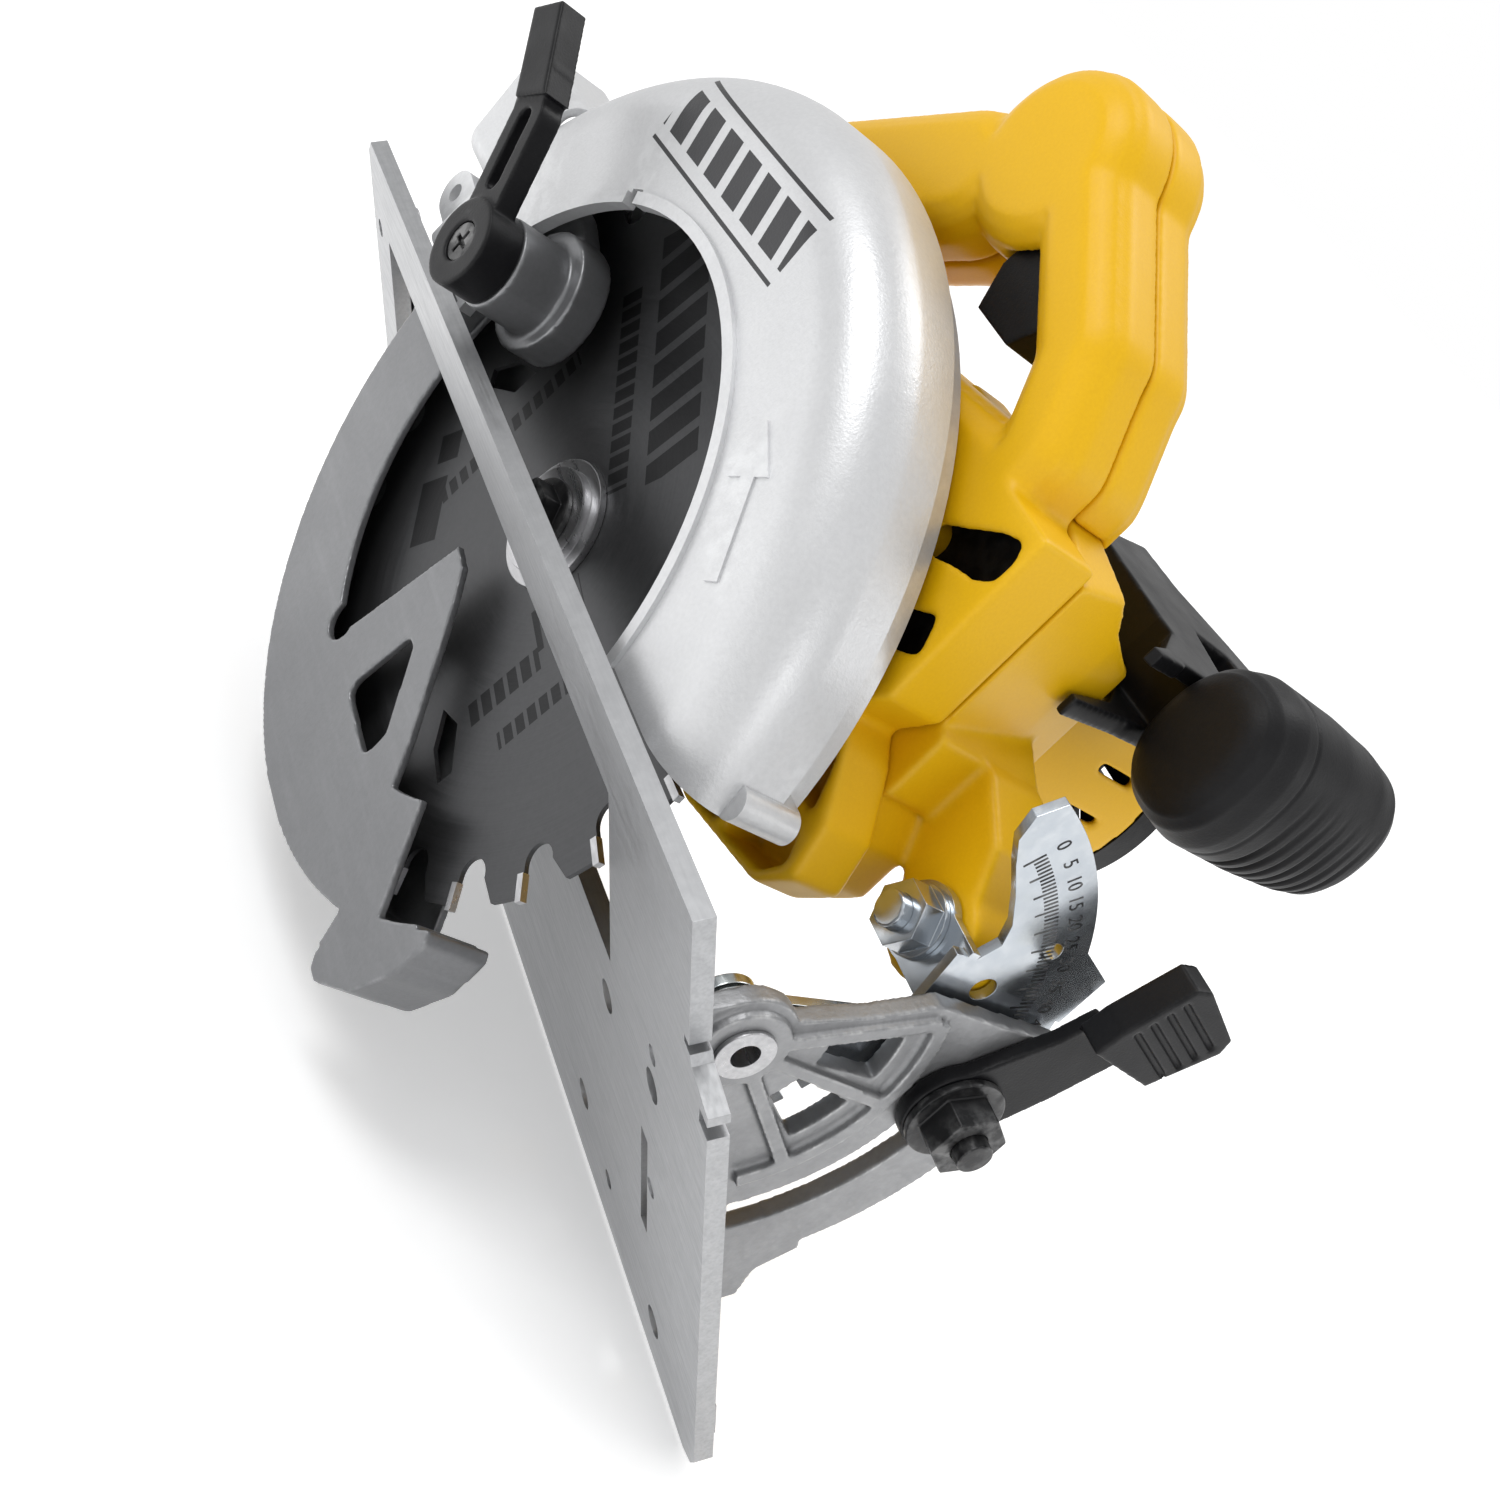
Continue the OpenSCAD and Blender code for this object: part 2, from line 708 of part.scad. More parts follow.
module handle_left() {
  color([0.95, 0.72, 0.05]) difference() {
    handle_half(1, 0);
    motor_envelope();
    slab_y(seam_y - 1, handle_y1 - shell_wall - 5) difference() {
      handle_core2();
      handle_screw_pattern(5);
    }
    slab_y(seam_y - 1, handle_y1 + 1) handle_screw_pattern(2);
    slab_y(handle_y1 - 4, handle_y1 + 1) handle_screw_pattern(4);
    slab_y(seam_y - 1, seam_y + 8) housing_screw_pattern(4.6);
    trigger_window();
    trigger_bore();
    cord_bore();
    // Keeps clear of the depth lug
    slab_y(seam_y, 60) translate([-80, -20]) square([60, 40]);
  }
}

module handle_screws() {
  color([0.25, 0.25, 0.26]) {
    slab_y(handle_y0 + 5, handle_y1 - 3) handle_screw_pattern(2);
    slab_y(handle_y1 - 4, handle_y1 - 1.5) handle_screw_pattern(3.9);
  }
}

module motor_housing() {
  color([0.95, 0.72, 0.05]) difference() {
    union() {
      difference() {
        union() {
          barrel(0, seam_y, barrel_end);
          nose(0);
          slab_y(seam_y, knuckle_y0) lower_web_left2();
        }
        intersection() {
          nose(shell_wall);
          translate([-100, seam_y + 3, -100]) cube([300, 60, 300]);
        }
      }
      // Bulkhead carrying both bearings
      slab_y(seam_y, seam_y + 10) bulkhead2();
      // Arm and knuckle towards the front pivot
      slab_y(knuckle_y0, knuckle_y1) arm2(0);
      translate([pivot_x, 0, pivot_z]) rod_y(knuckle_r, knuckle_y0, knuckle_y1);
      slab_y(seam_y, knuckle_y1) arm_root2();
      // Rear lug for the depth clamp bolt
      slab_y(40, arc_y0 - 0.5) lug2();
      slab_y(seam_y, seam_y + 8) housing_screw_pattern(4.6);
    }
    barrel(shell_wall, seam_y + 10, barrel_end + 1);
    translate([pivot_x, 0, pivot_z]) rod_y(pin_r + run_gap, 40, 70);
    rod_y(11, seam_y + 2, seam_y + 9);
    rod_y(6.5, seam_y - 1, seam_y + 4);
    translate([motor_x, 0, motor_z]) rod_y(11, seam_y + 4, seam_y + 11);
    translate([motor_x, 0, motor_z]) rod_y(9.2, seam_y - 1, seam_y + 6);
    translate([depth_x, 0, depth_z]) rod_y(pin_r, 30, 60);
    slab_y(seam_y - 1, seam_y + 6) housing_screw_pattern(2);
    // Pockets on the underside of the nose
    slab_y(knuckle_y0 - 9, knuckle_y0 + 1) polygon([[60, -7], [80, -3], [76, 12], [60, 6]]);
    // Air slots near the motor end
    for (a = [0 : 18 : 162]) translate([motor_x, 0, motor_z]) rotate([0, 40 - a, 0])
      translate([barrel_r - 8, barrel_end - 24, -1.2]) cube([16, 14, 2.4]);
  }
}

module lower_web_left2() {
  polygon([[36, -10], [60, -11], [98, -3], [104, 4], [104, 16], [96, 28], [36, 30]]);
}

module arm_root2() {
  polygon([[40, 48], [88, 48], [100, 43], [100, 26], [62, 18], [40, 20]]);
}

module bulkhead2() {
  translate([motor_x, motor_z]) circle(r = barrel_r - 1);
  circle(r = 18);
}

module lug2() {
  difference() {
    union() {
      bar2([depth_x, depth_z], [-36, 14], 18);
      polygon([[-40, 5], [-40, 24], [-24, 40], [-20, 6]]);
    }
    translate([motor_x, motor_z]) circle(r = barrel_r - 1);
  }
}

module housing_screws() {
  color([0.25, 0.25, 0.26]) slab_y(22, seam_y + 5.5) housing_screw_pattern(2);
}

module guard_screws() {
  color([0.3, 0.3, 0.31]) {
    slab_y(guard_back - 4.8, guard_back - 3) guard_screw_pattern(4.2);
    slab_y(guard_back - 4, 27) guard_screw_pattern(2.2);
  }
}

module end_cap() {
  color([0.1, 0.1, 0.1]) difference() {
    translate([motor_x, 0, motor_z]) union() {
      rod_y(barrel_r, barrel_end, barrel_end + 8);
      rod_y(barrel_r - 5, barrel_end, barrel_end + 12);
      rod_y(barrel_r - shell_wall, barrel_end - 3, barrel_end + 2);
    }
    translate([motor_x, 0, motor_z]) {
      rod_y(barrel_r - 2 * shell_wall, barrel_end - 4, barrel_end + 4);
      rod_y(barrel_r - 7.5, barrel_end - 4, barrel_end + 9.5);
      for (a = [0 : 15 : 345]) rotate([0, a, 0]) translate([14, barrel_end, -1]) cube([20, 20, 2]);
    }
    translate([motor_x, 0, motor_z]) rod_y(9, barrel_end - 5, barrel_end + 4);
  }
  color([0.1, 0.1, 0.1]) translate([motor_x, 0, motor_z]) difference() {
    rod_y(12.5, barrel_end - 12, barrel_end + 10);
    rod_y(9, barrel_end - 13, barrel_end - 5);
    rod_y(5, barrel_end - 6, barrel_end + 2);
  }
}

module field_core() {
  y0 = seam_y + 27;
  color([0.35, 0.35, 0.37]) translate([motor_x, 0, motor_z]) difference() {
    rod_y(barrel_r - shell_wall, y0, y0 + 44);
    rod_y(24, y0 - 1, y0 + 45);
    translate([-7, y0 - 1, -34]) cube([14, 46, 68]);
    for (s = [-1, 1]) translate([0, y0 - 1, s * 30]) translate([-20, 0, -4]) cube([40, 46, 8]);
  }
}

module field_coils() {
  y0 = seam_y + 24;
  color([0.7, 0.36, 0.14]) translate([motor_x, 0, motor_z]) for (s = [-1, 1])
    translate([0, 0, s * 30]) difference() {
      translate([-20, y0, -4]) cube([40, 50, 8]);
      translate([-7.2, y0 + 3, -5]) cube([14.4, 44, 10]);
    }
}

module armature_bearing_front() {
  color([0.7, 0.71, 0.73]) translate([motor_x, 0, motor_z])
    bearing(11, pin_r + run_gap, seam_y + 4, seam_y + 11);
}

module armature_bearing_rear() {
  color([0.7, 0.71, 0.73]) translate([motor_x, 0, motor_z])
    bearing(9, pin_r + run_gap, barrel_end - 12, barrel_end - 5);
}

module armature_shaft() {
  color([0.6, 0.6, 0.62]) {
    translate([motor_x, 0, motor_z]) rod_y(4, 21.5, barrel_end - 4);
    translate([motor_x, 0, motor_z]) slab_y(22, 29) rotate(pinion_phase)
      gear2(pinion_teeth, pinion_pitch_r - 1.2, pinion_pitch_r + 0.9, gear_module * 0.5);
  }
}

module armature_core() {
  y0 = seam_y + 27;
  color([0.4, 0.3, 0.25]) translate([motor_x, 0, motor_z]) difference() {
    union() {
      rod_y(23.2, y0, y0 + 44);
      rod_y(18, y0 - 5, y0 + 49);
    }
    rod_y(4, 0, 200);
    for (a = [0 : 30 : 330]) rotate([0, a, 0]) translate([20, y0 - 1, -1]) cube([5, 46, 2]);
  }
}

module commutator() {
  y0 = seam_y + 80;
  color([0.75, 0.42, 0.2]) translate([motor_x, 0, motor_z]) difference() {
    rod_y(12, y0, y0 + 18);
    rod_y(4, 0, 200);
    for (a = [0 : 30 : 330]) rotate([0, a, 0]) translate([11, y0 + 2, -0.3]) cube([2, 17, 0.6]);
  }
}

module cooling_fan() {
  y0 = seam_y + 13;
  color([0.12, 0.12, 0.12]) translate([motor_x, 0, motor_z]) {
    tube_y(9, 4, y0, y0 + 9);
    tube_y(34, 8, y0, y0 + 1.8);
    for (a = [0 : 30 : 330]) rotate([0, a, 0]) translate([16, y0 + 1, -0.8]) cube([20, 8, 1.6]);
  }
}

module brush_holders() {
  y0 = seam_y + 84;
  color([0.75, 0.6, 0.25]) translate([motor_x, 0, motor_z]) for (s = [0, 180]) rotate([0, s, 0])
    difference() {
      translate([14, y0, -5]) cube([barrel_r - shell_wall - 14.6, 10, 10]);
      translate([10, y0 + 1.5, -3.5]) cube([22, 7, 7]);
    }
}

module carbon_brushes() {
  y0 = seam_y + 84;
  color([0.15, 0.15, 0.15]) translate([motor_x, 0, motor_z]) for (s = [0, 180]) rotate([0, s, 0])
    translate([12.3, y0 + 1.5, -3.5]) cube([17, 7, 7]);
}

module switch_body() {
  color([0.12, 0.12, 0.12]) slab_y(handle_y - 8, handle_y + 8) difference() {
    polygon([[1, 119.5], [14, 120], [14, 140], [6, 145], [1, 138]]);
    translate([6, 132]) circle(r = 2);
  }
}

module trigger() {
  color([0.08, 0.08, 0.08]) difference() {
    union() {
      slab_y(handle_y - 10, handle_y + 10) difference() {
        polygon([[22, 112], [26, 102], [41, 102], [47, 112], [44, 124], [24, 126]]);
        translate([19, 100]) circle(r = 6.5);
      }
      translate([39, 0, 121]) rod_y(2.6, handle_y - 13, handle_y + 13);
    }
    translate([24.5, 0, 121]) rod_y(1.5, handle_y - 3, handle_y + 3);
  }
}

module trigger_spring() {
  color([0.6, 0.6, 0.62]) translate([14.2, handle_y, 123]) rotate([0, 90, 0]) difference() {
    cylinder(r = 3, h = 8.6);
    translate([0, 0, -1]) cylinder(r = 2, h = 12);
  }
}

module cord_inlet() {
  color([0.07, 0.07, 0.07]) translate([-98, handle_y, 60]) rotate([0, -70, 0]) difference() {
    union() {
      translate([0, 0, 4]) cylinder(r = 6, h = 12);
      translate([0, 0, 13]) cylinder(r = 7.5, h = 4);
      translate([0, 0, 17]) cylinder(r = 5.2, h = 8);
    }
    translate([0, 0, -1]) cylinder(r = 3.6, h = 40);
  }
}

module aux2(g) {
  bar2([grip_x, grip_z - 4], [grip_x, grip_z + 4], aux_d + 2 * g);
}

module aux_grip() {
  color([0.07, 0.07, 0.07]) difference() {
    union() {
      slab_y(grip_y0, grip_y0 + aux_len) aux2(-7.5);
      slab_y(grip_y0 + 0.8, grip_y0 + aux_len - 1.6) aux2(-4.4);
      slab_y(grip_y0 + 2, grip_y0 + aux_len - 4) aux2(-2.2);
      slab_y(grip_y0 + 4, grip_y0 + aux_len - 8) aux2(0);
    }
    for (i = [0 : 5]) translate([0, grip_y0 + 20 + i * 5, 0]) rotate([0, 0, -20])
      translate([grip_x - 34, 22, grip_z - 26]) cube([60, 1.8, 8]);
    translate([grip_x - 24, grip_y0 + 17, grip_z]) rod_x(5, 0, 20);
    translate([grip_x - 24, grip_y0 + 43, grip_z]) rod_x(5, 0, 20);
  }
}

module aux_bracket() {
  color([0.06, 0.06, 0.06]) difference() {
    union() {
      slab_z(58, 80) difference() {
        polygon([[30, 92], [66, 90], [86.5, 92], [86.5, 132], [76, 139], [52, 130], [36, 122], [20, 120]]);
        polygon([[60, 110], [78, 105], [78, 126], [62, 122]]);
      }
      translate([0, grip_y0 + 17, grip_z]) rod_x(5 - run_gap, 80, grip_x - 8);
      translate([0, grip_y0 + 43, grip_z]) rod_x(5 - run_gap, 80, grip_x - 8);
      // Prongs reaching over the nose
      slab_z(58, 63) polygon([[94.5, 58], [92, 58], [84, 78], [66, 96], [86, 100], [89, 80]]);
      slab_z(76, 80) polygon([[90, 72], [88, 70], [84, 78], [66, 96], [86, 100], [89, 80]]);
    }
    motor_envelope();
    aux_body_clear();
  }
}

module aux_body_clear() {
  difference() {
    slab_y(grip_y0 - 0.01, grip_y0 + aux_len) aux2(0.01);
    translate([0, grip_y0 + 17, grip_z]) rod_x(5 - run_gap, 60, grip_x - 8);
    translate([0, grip_y0 + 43, grip_z]) rod_x(5 - run_gap, 60, grip_x - 8);
  }
}

module lock_button() {
  color([0.08, 0.08, 0.08]) {
    translate([0, lock_y, 0]) rod_x(3, -37, -lock_disc_r - 5.2);
    translate([0, lock_y, 0]) rod_x(7, -43, -36);
    translate([0, lock_y + 1.8, 0]) rod_x(0.9, -lock_disc_r - 8, -lock_disc_r);
  }
}

module lock_spring() {
  color([0.6, 0.6, 0.62]) translate([0, lock_y, 0]) difference() {
    rod_x(4.4, -35.9, -31);
    rod_x(3.6, -40, -20);
  }
}

module depth_bolt() {
  color([0.6, 0.6, 0.62]) translate([depth_x, 0, depth_z]) {
    hex_y(12, 35, 40);
    rod_y(pin_r, 38, 66);
  }
}

module depth_nut() {
  color([0.55, 0.55, 0.57]) translate([depth_x, 0, depth_z]) difference() {
    union() {
      rod_y(9, arc_y1 + slide_gap, arc_y1 + 2);
      hex_y(12, arc_y1 + 1.5, arc_y1 + 8);
    }
    rod_y(pin_r + run_gap, 40, 80);
  }
}

module depth_lever() {
  color([0.08, 0.08, 0.08]) translate([depth_x, 0, depth_z]) difference() {
    slab_y(arc_y1 + 2, arc_y1 + 9) union() {
      circle(r = 10.5);
      polygon([[1, 6], [-25, 27], [-44, 37], [-51, 31], [-47, 24], [-31, 17], [-6, -5]]);
    }
    hex_y(12, arc_y1, arc_y1 + 20);
  }
}

// ---- depth and bevel brackets ----

module plate_outline2() {
  intersection() {
    translate([axis_y, axis_z]) circle(r = 76.5, $fn = 128);
    polygon([[axis_y, axis_z + lobe_r - 0.8], [38, 0], [44, 5], [41, 20], [46.5, 21], [48.5, 26], [46, 31],
      [40, 37], [33, 43], [28, 48], [26.5, 54], [40, 72], [90, 40], [90, axis_z - 2],
      [axis_y + 10, axis_z - 2], [axis_y + 5, axis_z - 5], [axis_y, axis_z - 5.6]]);
  }
  translate([axis_y, axis_z]) circle(r = lobe_r);
}

module ear2() {
  translate([pivot_x, pivot_z]) circle(r = 9);
  translate([pivot_x, pivot_z - 8.6]) square([30, 16]);
}

module bevel_bracket() {
  color([0.72, 0.74, 0.76]) difference() {
    union() {
      slab_x(plate_x0, plate_x1) plate_outline2();
      intersection() {
        union() {
          slab_y(44, 44 + ear_t) ear2();
          slab_y(66, 66 + ear_t) ear2();
        }
        translate([pivot_x - 20, 0, -50]) cube([plate_x1 - pivot_x + 20, 100, 100]);
      }
      // Folded pointer tab
      translate([plate_x0 - 14, 78.5, 16]) cube([plate_x1 - plate_x0 + 14, ear_t, 12]);
      slab_x(plate_x0, plate_x1) polygon([[66, 14], [81, 15], [81, 28.6], [66, 34]]);
    }
    translate([pivot_x, 0, pivot_z]) rod_y(pin_r, 40, 80);
    translate([0, axis_y, axis_z]) rod_x(pin_r + 0.5 + run_gap, 120, 150);
    translate([0, bolt_y, bolt_z]) rod_x(pin_r, 120, 150);
    translate([0, 55, 15]) rod_x(3, 120, 150);
    translate([0, 61, 29.5]) rod_x(2.4, 120, 150);
  }
}

module depth_pivot_bolt() {
  color([0.62, 0.63, 0.65]) translate([pivot_x, 0, pivot_z]) {
    rod_y(pin_r, 34, 69);
    rod_y(8, 66 + ear_t, 73);
  }
}

module pivot_nut() {
  color([0.62, 0.63, 0.65]) translate([pivot_x, 0, pivot_z]) difference() {
    union() {
      hex_y(13, 37, 43);
      rod_y(8, 42.5, 44);
    }
    rod_y(pin_r, 30, 50);
  }
}

module depth_arc() {
  a0 = atan2(depth_z - pivot_z, pivot_x - depth_x);
  a1 = a0 + 30;
  color([0.7, 0.72, 0.74]) difference() {
    union() {
      slab_y(arc_y0, arc_y1) {
        translate([pivot_x, pivot_z]) intersection() {
          difference() {
            circle(r = depth_r + 9.5, $fn = 160);
            circle(r = depth_r - 9.5, $fn = 160);
          }
          wedge2(180 - a1 - 5, 180 - a0 + 6, 260);
        }
        polygon([[rear_tab_x0, axis_z + 7], [-74, depth_z - 3], [-54, depth_z - 4], [-52, axis_z - 6.4],
          [rear_tab_x0, axis_z - 6.4]]);
      }
      slab_x(rear_tab_x0, rear_tab_x1) {
        bar2([axis_y, axis_z], [arc_y1 - lobe_r, axis_z], 2 * lobe_r);
        translate([arc_y1 - lobe_r, axis_z - 6.4]) square([lobe_r, 13.4]);
      }
    }
    slab_y(arc_y0 - 1, arc_y1 + 1) translate([pivot_x, pivot_z]) intersection() {
      difference() {
        circle(r = depth_r + pin_r + 0.35, $fn = 160);
        circle(r = depth_r - pin_r - 0.35, $fn = 160);
      }
      wedge2(180 - a1 - 3, 180 - a0 + 3, 260);
    }
    translate([0, axis_y, axis_z]) rod_x(pin_r + run_gap, rear_tab_x0 - 5, rear_tab_x1 + 5);
  }
}

module bevel_bolt() {
  color([0.15, 0.15, 0.15]) translate([0, bolt_y, bolt_z]) {
    rod_x(pin_r, plate_x0 - 1, 158);
    rod_x(7, plate_x0 - 3, plate_x0);
  }
}

module bevel_nut() {
  color([0.12, 0.12, 0.12]) translate([0, bolt_y, bolt_z]) difference() {
    union() {
      rod_x(11, web_x1 + 4, web_x1 + 6);
      hex_x(15, web_x1 + 5, web_x1 + 13);
    }
    rod_x(pin_r + run_gap, 130, 170);
  }
}

module bevel_lever() {
  color([0.08, 0.08, 0.08]) translate([0, bolt_y, bolt_z]) difference() {
    union() {
      slab_x(web_x1 + slide_gap, web_x1 + 4) {
        circle(r = 11.5);
        polygon([[-8.5, 6], [6, 26], [10, 35], [27, 30], [19, 12], [9.5, -5]]);
      }
      slab_x(web_x1 + 3, web_x1 + 11)
        polygon([[7, 31], [8, 38], [14, 54], [18, 55], [36, 47], [37, 43], [28, 28.5]]);
    }
    rod_x(pin_r + 1, 130, 170);
    for (i = [0 : 3]) translate([web_x1 + 10, 11 + i * 1.2, 38.5 + i * 3.6])
      rotate([-20, 0, 0]) cube([2, 20, 1.4]);
  }
}

// ---- shoe, drawn at zero bevel ----

module shoe2() {
  difference() {
    intersection() {
      translate([shoe_rear, -rail_edge]) square([shoe_len, shoe_width]);
      polygon([[shoe_rear, -rail_edge + 4], [shoe_rear + 4, -rail_edge], [shoe_front - 12, -rail_edge],
        [shoe_front - 12, 0], [shoe_front - 10, 3], [shoe_front, 6], [shoe_front, shoe_left - 7],
        [shoe_front - 2.5, shoe_left - 2.5], [shoe_front - 8, shoe_left], [shoe_rear + 6, shoe_left],
        [shoe_rear, shoe_left - 6]]);
    }
    // Blade and gear case opening
    translate([slot_x0, -14.5]) square([slot_x1 - slot_x0, 50.5]);
    // Kerf sight notches
    translate([shoe_front - 5, 8.5]) square([10, 4]);
    translate([shoe_front - 15, -1]) square([10, 2]);
    // Rip fence slots and screw holes
    translate([shoe_rear + 260 - 2.5, -rail_edge + 98]) square([5, 34]);
    for (p = [[265, 75], [208, 150], [231, 86], [268, 160]])
      translate([shoe_rear + p[0], p[1] - rail_edge]) circle(r = 4);
    translate([shoe_rear + 230, 156 - rail_edge]) circle(r = 2.5);
    translate([shoe_rear + 30, 120 - rail_edge]) circle(r = 4);
  }
}

module shoe_plate() {
  color([0.72, 0.73, 0.74]) bevelled() difference() {
    union() {
      slab_z(sole_z, shoe_top) shoe2();
      // Pressed rip fence guides
      translate([shoe_front - 22, shoe_left - 18, shoe_top - 0.5]) cube([16, 12, 3]);
    }
    slab_z(sole_z - 1, shoe_top + 1) rivet_pattern2(2.4);
  }
}

module rivet_pattern2(r) {
  translate([124, 30]) circle(r = r);
  translate([124, 76]) circle(r = r);
  translate([rear_tab_x0 - 9, 34]) circle(r = r);
  translate([rear_tab_x0 - 9, -12]) circle(r = r);
}

module support_rivets() {
  color([0.6, 0.6, 0.62]) bevelled() {
    slab_z(sole_z + 0.6, shoe_top + 6.2) rivet_pattern2(2.4);
    slab_z(shoe_top + 4.5, shoe_top + 6.2) rivet_pattern2(4);
  }
}

// Web of the front casting in y and z.
module web2() {
  intersection() {
    translate([axis_y, axis_z]) circle(r = 75, $fn = 128);
    polygon([[-3, shoe_top], [-3, axis_z], [7, -2], [11, 13], [13, 28], [25.5, 44], [36, 58], [92, 48],
      [92, shoe_top]]);
  }
  intersection() {
    translate([axis_y, axis_z]) circle(r = 12);
    translate([-20, shoe_top]) square([60, 40]);
  }
  // Flared toe at the left
  polygon([[70, shoe_top], [97, shoe_top], [97, axis_z + 2], [89, axis_z + 6], [85, axis_z + 16],
    [66, axis_z + 16]]);
}

module web_slot2(w) {
  translate([axis_y, axis_z]) intersection() {
    difference() {
      circle(r = bolt_r + w, $fn = 128);
      circle(r = bolt_r - w, $fn = 128);
    }
    wedge2(-3 + bolt_angle - 3, 50 + bolt_angle + 8, 100);
  }
}

module front_support() {
  color([0.68, 0.68, 0.69]) bevelled() difference() {
    union() {
      slab_x(web_x0, web_x1) web2();
      // Foot plate behind the web
      translate([116, 18, shoe_top]) cube([web_x0 - 115, 60, 4.5]);
      // Raised rim and ribs on the front face
      slab_x(web_x1 - 1, web_x1 + 2) {
        translate([axis_y, axis_z]) intersection() {
          difference() {
            circle(r = 44, $fn = 96);
            circle(r = 40.5, $fn = 96);
          }
          wedge2(0, 80, 60);
        }
        translate([axis_y, axis_z]) for (a = [14, 47, 80]) rotate(a) translate([8, -1.6]) square([34, 3.2]);
      }
      translate([0, axis_y, axis_z]) intersection() {
        rod_x(10, web_x0, web_x1 + 2);
        translate([100, -20, shoe_top - axis_z]) cube([60, 40, 60]);
      }
      // Scale marks near the outer edge
      for (a = [0 : 5 : 50]) translate([web_x1 - 0.5, axis_y, axis_z]) rotate([a + 3, 0, 0])
        translate([0, a % 10 == 0 ? 68.5 : 70.5, -0.4]) cube([0.8, a % 10 == 0 ? 5.5 : 3.5, 0.8]);
    }
    slab_x(100, 170) web_slot2(pin_r + 0.5);
    translate([0, axis_y, axis_z]) rod_x(pin_r + 0.5, 120, 160);
    slab_x(130, 160) translate([axis_y, axis_z]) intersection() {
      difference() {
        circle(r = 36, $fn = 96);
        circle(r = 20, $fn = 96);
      }
      union() {
        wedge2(19, 41, 60);
        wedge2(53, 73, 60);
      }
    }
    slab_z(shoe_top - 1, shoe_top + 10) rivet_pattern2(2.4);
  }
}

module pivot_eyelet() {
  color([0.7, 0.71, 0.72]) bevelled() translate([0, axis_y, axis_z]) difference() {
    union() {
      rod_x(pin_r + 0.5, 128, web_x1 + 3.2);
      rod_x(6.4, web_x1 + 2, web_x1 + 3.2);
    }
    rod_x(3, 120, 170);
  }
}

module stop_plate() {
  color([0.7, 0.72, 0.74]) bevelled() slab_x(130, 132.6) translate([axis_y, axis_z]) difference() {
    intersection() {
      circle(r = 37);
      union() {
        wedge2(-2, 62, 60);
        circle(r = 7);
      }
      translate([-20, -7.2]) square([80, 60]);
    }
    circle(r = pin_r + 0.5);
    for (a = [6, 22, 38]) rotate(a) translate([33, 0]) square([8, 4]);
    translate([18, 5]) rotate(20) square([12, 4]);
  }
}

module rear_support() {
  color([0.68, 0.68, 0.69]) bevelled() difference() {
    union() {
      slab_x(rear_tab_x0 - 5.4, rear_tab_x0 - 0.6) union() {
        intersection() {
          translate([axis_y, axis_z]) circle(r = 10);
          translate([-20, shoe_top]) square([60, 60]);
        }
        polygon([[-16, shoe_top], [-2, axis_z + 5], [axis_y, axis_z + 10], [20, axis_z + 5], [40, shoe_top]]);
      }
      translate([rear_tab_x0 - 14, -18, shoe_top]) cube([10, 60, 4.5]);
    }
    translate([0, axis_y, axis_z]) rod_x(pin_r, rear_tab_x0 - 30, rear_tab_x1 + 5);
    translate([0, axis_y, axis_z]) rod_x(6, rear_tab_x0 - 30, rear_tab_x0 - 5.4);
    slab_z(shoe_top - 1, shoe_top + 10) rivet_pattern2(2.4);
  }
}

module rear_pin() {
  color([0.62, 0.63, 0.65]) bevelled() translate([0, axis_y, axis_z]) {
    rod_x(pin_r, rear_tab_x0 - 6.8, rear_tab_x1 + 1.5);
    rod_x(5.5, rear_tab_x0 - 7, rear_tab_x0 - 5.4);
  }
}

upper_guard();
bearing_retainer();
retainer_screws();
spindle_bearing_front();
spindle_bearing_rear();
guard_spring();
right_housing();
motor_housing();
handle_left();
end_cap();
field_core();
field_coils();
armature_bearing_front();
armature_bearing_rear();
brush_holders();
carbon_brushes();
switch_body();
trigger_spring();
cord_inlet();
aux_grip();
aux_bracket();
housing_screws();
handle_screws();
guard_screws();
lock_spring();
depth_bolt();
spindle();
drive_gear();
gear_key();
inner_flange();
outer_flange();
blade();
carbide_tips();
blade_bolt();
armature_shaft();
armature_core();
commutator();
cooling_fan();
lower_guard();
guard_lever();
lever_screw();
trigger();
lock_button();
depth_lever();
depth_nut();
bevel_bracket();
depth_pivot_bolt();
pivot_nut();
depth_arc();
bevel_bolt();
bevel_lever();
bevel_nut();
shoe_plate();
front_support();
rear_support();
pivot_eyelet();
rear_pin();
support_rivets();
stop_plate();
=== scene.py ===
import json
import math

import bmesh
import bpy
from mathutils import Matrix, Vector


